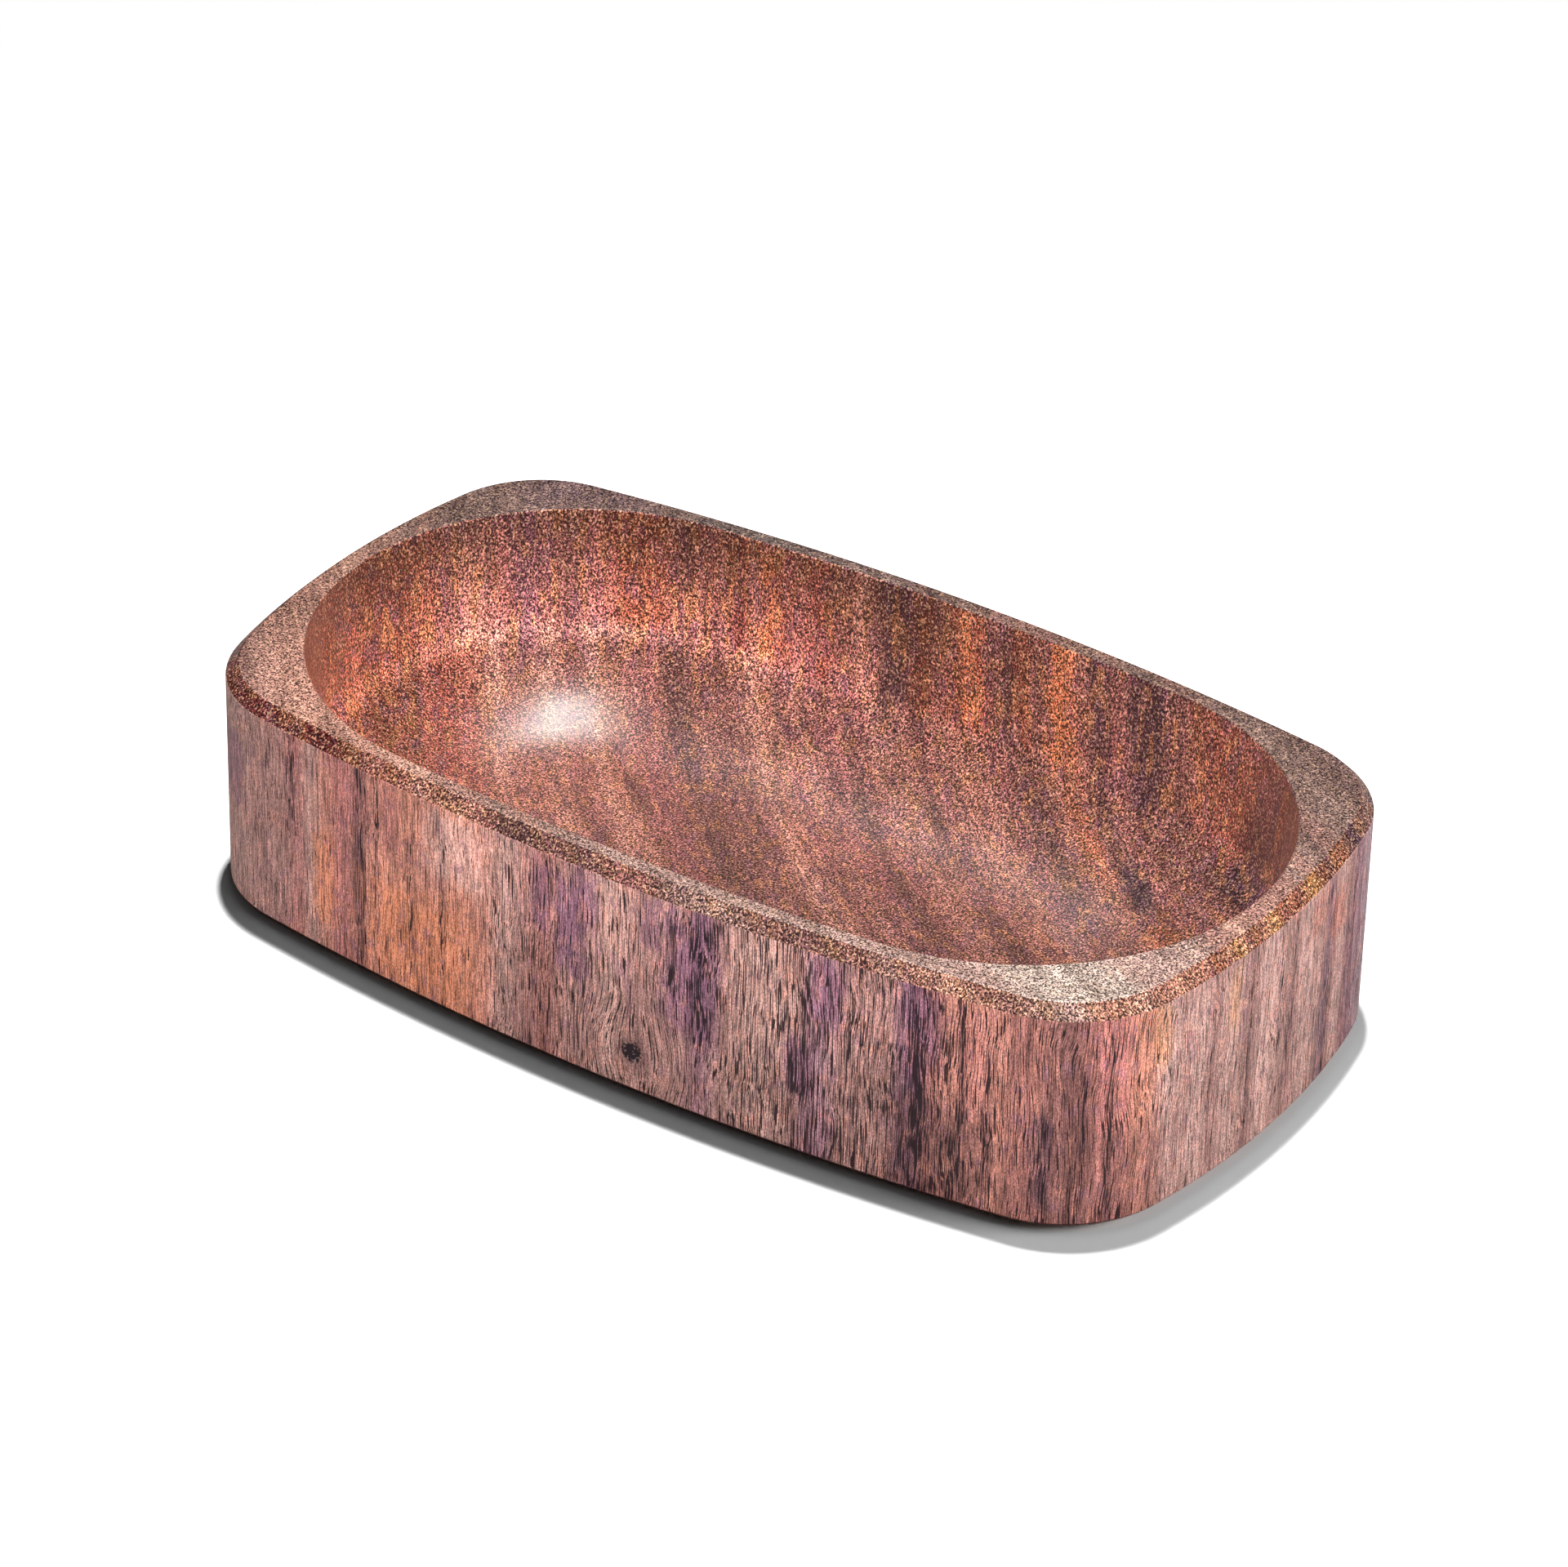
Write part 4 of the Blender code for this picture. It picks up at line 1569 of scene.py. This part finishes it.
@dataclass(frozen=True)
class Camera:
    """The camera, at the place that the photograph was taken from."""

    azimuth: float = math.radians(33.62)
    elevation: float = math.radians(32.26)
    roll: float = math.radians(1.43)
    distance: float = 857.6 * MM
    aim_height: float = 17.1 * MM
    focal_pixels: float = 7998.0
    frame_pixels: float = 1920.0
    right_pixels: float = 7.0
    down_pixels: float = 57.0
    sensor_width: float = 36.0
    clip: Run = (0.01, 100.0)

    def build(self) -> None:
        """Make the camera and use it."""
        level = math.cos(self.elevation)
        back = Vector((
            math.sin(self.azimuth) * level, -math.cos(self.azimuth) * level, math.sin(self.elevation),
        ))
        right = Vector((math.cos(self.azimuth), math.sin(self.azimuth), 0.0))
        up = back.cross(right)
        axes = Matrix((right, up, back)).transposed().to_4x4()
        roll = Matrix.Rotation(self.roll, 4, "Z")
        pitch = Matrix.Rotation(self.down_pixels / self.focal_pixels, 4, "X")
        yaw = Matrix.Rotation(self.right_pixels / self.focal_pixels, 4, "Y")
        data = bpy.data.cameras.new("camera")
        data.sensor_width = self.sensor_width
        data.lens = self.sensor_width * self.focal_pixels / self.frame_pixels
        data.clip_start, data.clip_end = self.clip
        camera = bpy.data.objects.new("camera", data)
        eye = Vector((0.0, 0.0, self.aim_height)) + back * self.distance
        camera.matrix_world = Matrix.Translation(eye) @ axes @ roll @ pitch @ yaw
        bpy.context.scene.collection.objects.link(camera)
        bpy.context.scene.camera = camera


class Reach(Enum):
    """What a lamp lights. Flags shade the rest."""

    ALL = "all"
    DISH = "dish"
    FLOOR = "floor"


@dataclass(frozen=True)
class Lamp:
    """A studio lamp that looks at the dish, with its angles in degrees."""

    name: str
    azimuth: float
    elevation: float
    distance: float
    width: float
    height: float
    level: float
    glints: bool = False
    reach: Reach = Reach.DISH

    def build(self, receivers: dict[Reach, bpy.types.Collection]) -> None:
        """Hang the lamp. A level of 1 shows a white face that looks at it as white.

        Args:
            receivers: The pieces that a flagged lamp lights.
        """
        azimuth, elevation = math.radians(self.azimuth), math.radians(self.elevation)
        level = math.cos(elevation)
        toward = Vector((math.sin(azimuth) * level, -math.cos(azimuth) * level, math.sin(elevation)))
        data = bpy.data.lights.new(self.name, "AREA")
        data.shape = "RECTANGLE"
        data.size = self.width
        data.size_y = self.height
        data.energy = self.level * math.pi**2 * self.distance**2
        lamp = bpy.data.objects.new(self.name, data)
        lamp.location = toward * self.distance
        lamp.rotation_euler = toward.to_track_quat("Z", "Y").to_euler()
        lamp.visible_glossy = self.glints
        if self.reach in receivers:
            lamp.light_linking.receiver_collection = receivers[self.reach]
        bpy.context.scene.collection.objects.link(lamp)


@dataclass(frozen=True)
class Studio:
    """The white floor, the backdrop and the lamps."""

    pieces: list[bpy.types.Object]
    floor_radius: float = 3.0
    floor_steps: int = 96
    floor_albedo: float = 0.8
    shown_gain: float = 4.4
    shadow_to_plain: Run = (0.16, 0.3)
    fill_level: float = 0.04
    sheen_level: float = 0.4
    lamps: tuple[Lamp, ...] = (
        Lamp("key", -150.0, 84.0, 1.5, 0.07, 0.07, 0.4, reach=Reach.FLOOR),
        Lamp("soft_key", -159.8, 84.8, 1.5, 0.5, 0.5, 0.34),
        Lamp("overhead", -149.0, 70.0, 1.2, 0.2, 0.5, 0.36, glints=True),
        Lamp("right_fill", 115.0, 22.0, 1.0, 0.5, 0.3, 0.16, reach=Reach.ALL),
        Lamp("right_side", 95.0, 25.0, 1.0, 0.4, 0.4, 0.33),
        Lamp("front_fill", 15.0, 35.0, 1.2, 0.9, 0.5, 0.8),
    )

    def build(self) -> None:
        """Build the studio."""
        lit = {Reach.DISH: self.pieces, Reach.FLOOR: [self.build_floor()]}
        self.build_backdrop()
        receivers = {}
        for reach, pieces in lit.items():
            receivers[reach] = bpy.data.collections.new(reach.value)
            for piece in pieces:
                receivers[reach].objects.link(piece)
        for lamp in self.lamps:
            lamp.build(receivers)
        bpy.context.scene.view_settings.view_transform = "Standard"

    def build_floor(self) -> bpy.types.Object:
        """A white floor that keeps the shadow and turns plain further out.

        Returns:
            The floor, which isn't part of the visual model.
        """
        bm = bmesh.new()
        bmesh.ops.create_circle(bm, cap_ends=True, segments=self.floor_steps, radius=self.floor_radius)
        mesh = bpy.data.meshes.new("floor")
        bm.to_mesh(mesh)
        bm.free()
        floor = bpy.data.objects.new("floor", mesh)
        bpy.context.scene.collection.objects.link(floor)
        material = bpy.data.materials.new("white_floor")
        material.use_nodes = True
        tree = material.node_tree
        tree.nodes.remove(tree.nodes["Principled BSDF"])
        graph = Graph(tree)
        seen = graph.add("ShaderNodeLightPath").outputs["Is Camera Ray"]
        gain = graph.ease(seen, 0.0, 1.0, self.floor_albedo, self.shown_gain)
        paint = graph.add("ShaderNodeBsdfDiffuse", {"Color": gain}).outputs[0]
        plain = graph.add("ShaderNodeEmission", {"Strength": 1.0}).outputs[0]
        place = graph.add("ShaderNodeTexCoord").outputs["Object"]
        far = graph.ease(graph.length(place), *self.shadow_to_plain)
        share = graph.maths("MULTIPLY", far, seen)
        mixed = graph.add("ShaderNodeMixShader", {0: share, 1: paint, 2: plain}).outputs[0]
        graph.feed(tree.nodes["Material Output"].inputs["Surface"], mixed)
        mesh.materials.append(material)
        return floor

    def build_backdrop(self) -> None:
        """A world that looks white and lights softly."""
        world = bpy.data.worlds.new("studio")
        bpy.context.scene.world = world
        world.use_nodes = True
        graph = Graph(world.node_tree)
        backdrop = world.node_tree.nodes["Background"]
        path = graph.add("ShaderNodeLightPath").outputs
        glossy = graph.ease(path["Is Glossy Ray"], 0.0, 1.0, self.fill_level, self.sheen_level)
        strength = graph.add("ShaderNodeMix", {0: path["Is Camera Ray"], 2: glossy, 3: 1.0}).outputs[0]
        graph.feed(backdrop.inputs["Strength"], strength)


def main() -> None:
    """Build the pieces in order, then the camera and the studio."""
    logging.basicConfig(level=logging.INFO, format="%(name)s: %(message)s")
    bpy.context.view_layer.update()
    groups = GroupKit().build()
    low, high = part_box("dish_body")
    pad_nodes = sorted(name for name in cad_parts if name.startswith("pad_"))
    body = DishBody(groups, low, high, [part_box(name) for name in pad_nodes])
    rubber = Rubber().build()
    pieces = [body.build()] + [Pad(name, rubber).build() for name in pad_nodes]
    for piece in pieces:
        LOG.info("%s has %d faces", piece.name, len(piece.data.polygons))
    Camera().build()
    Studio(pieces).build()


if __name__ == "__main__":
    main()
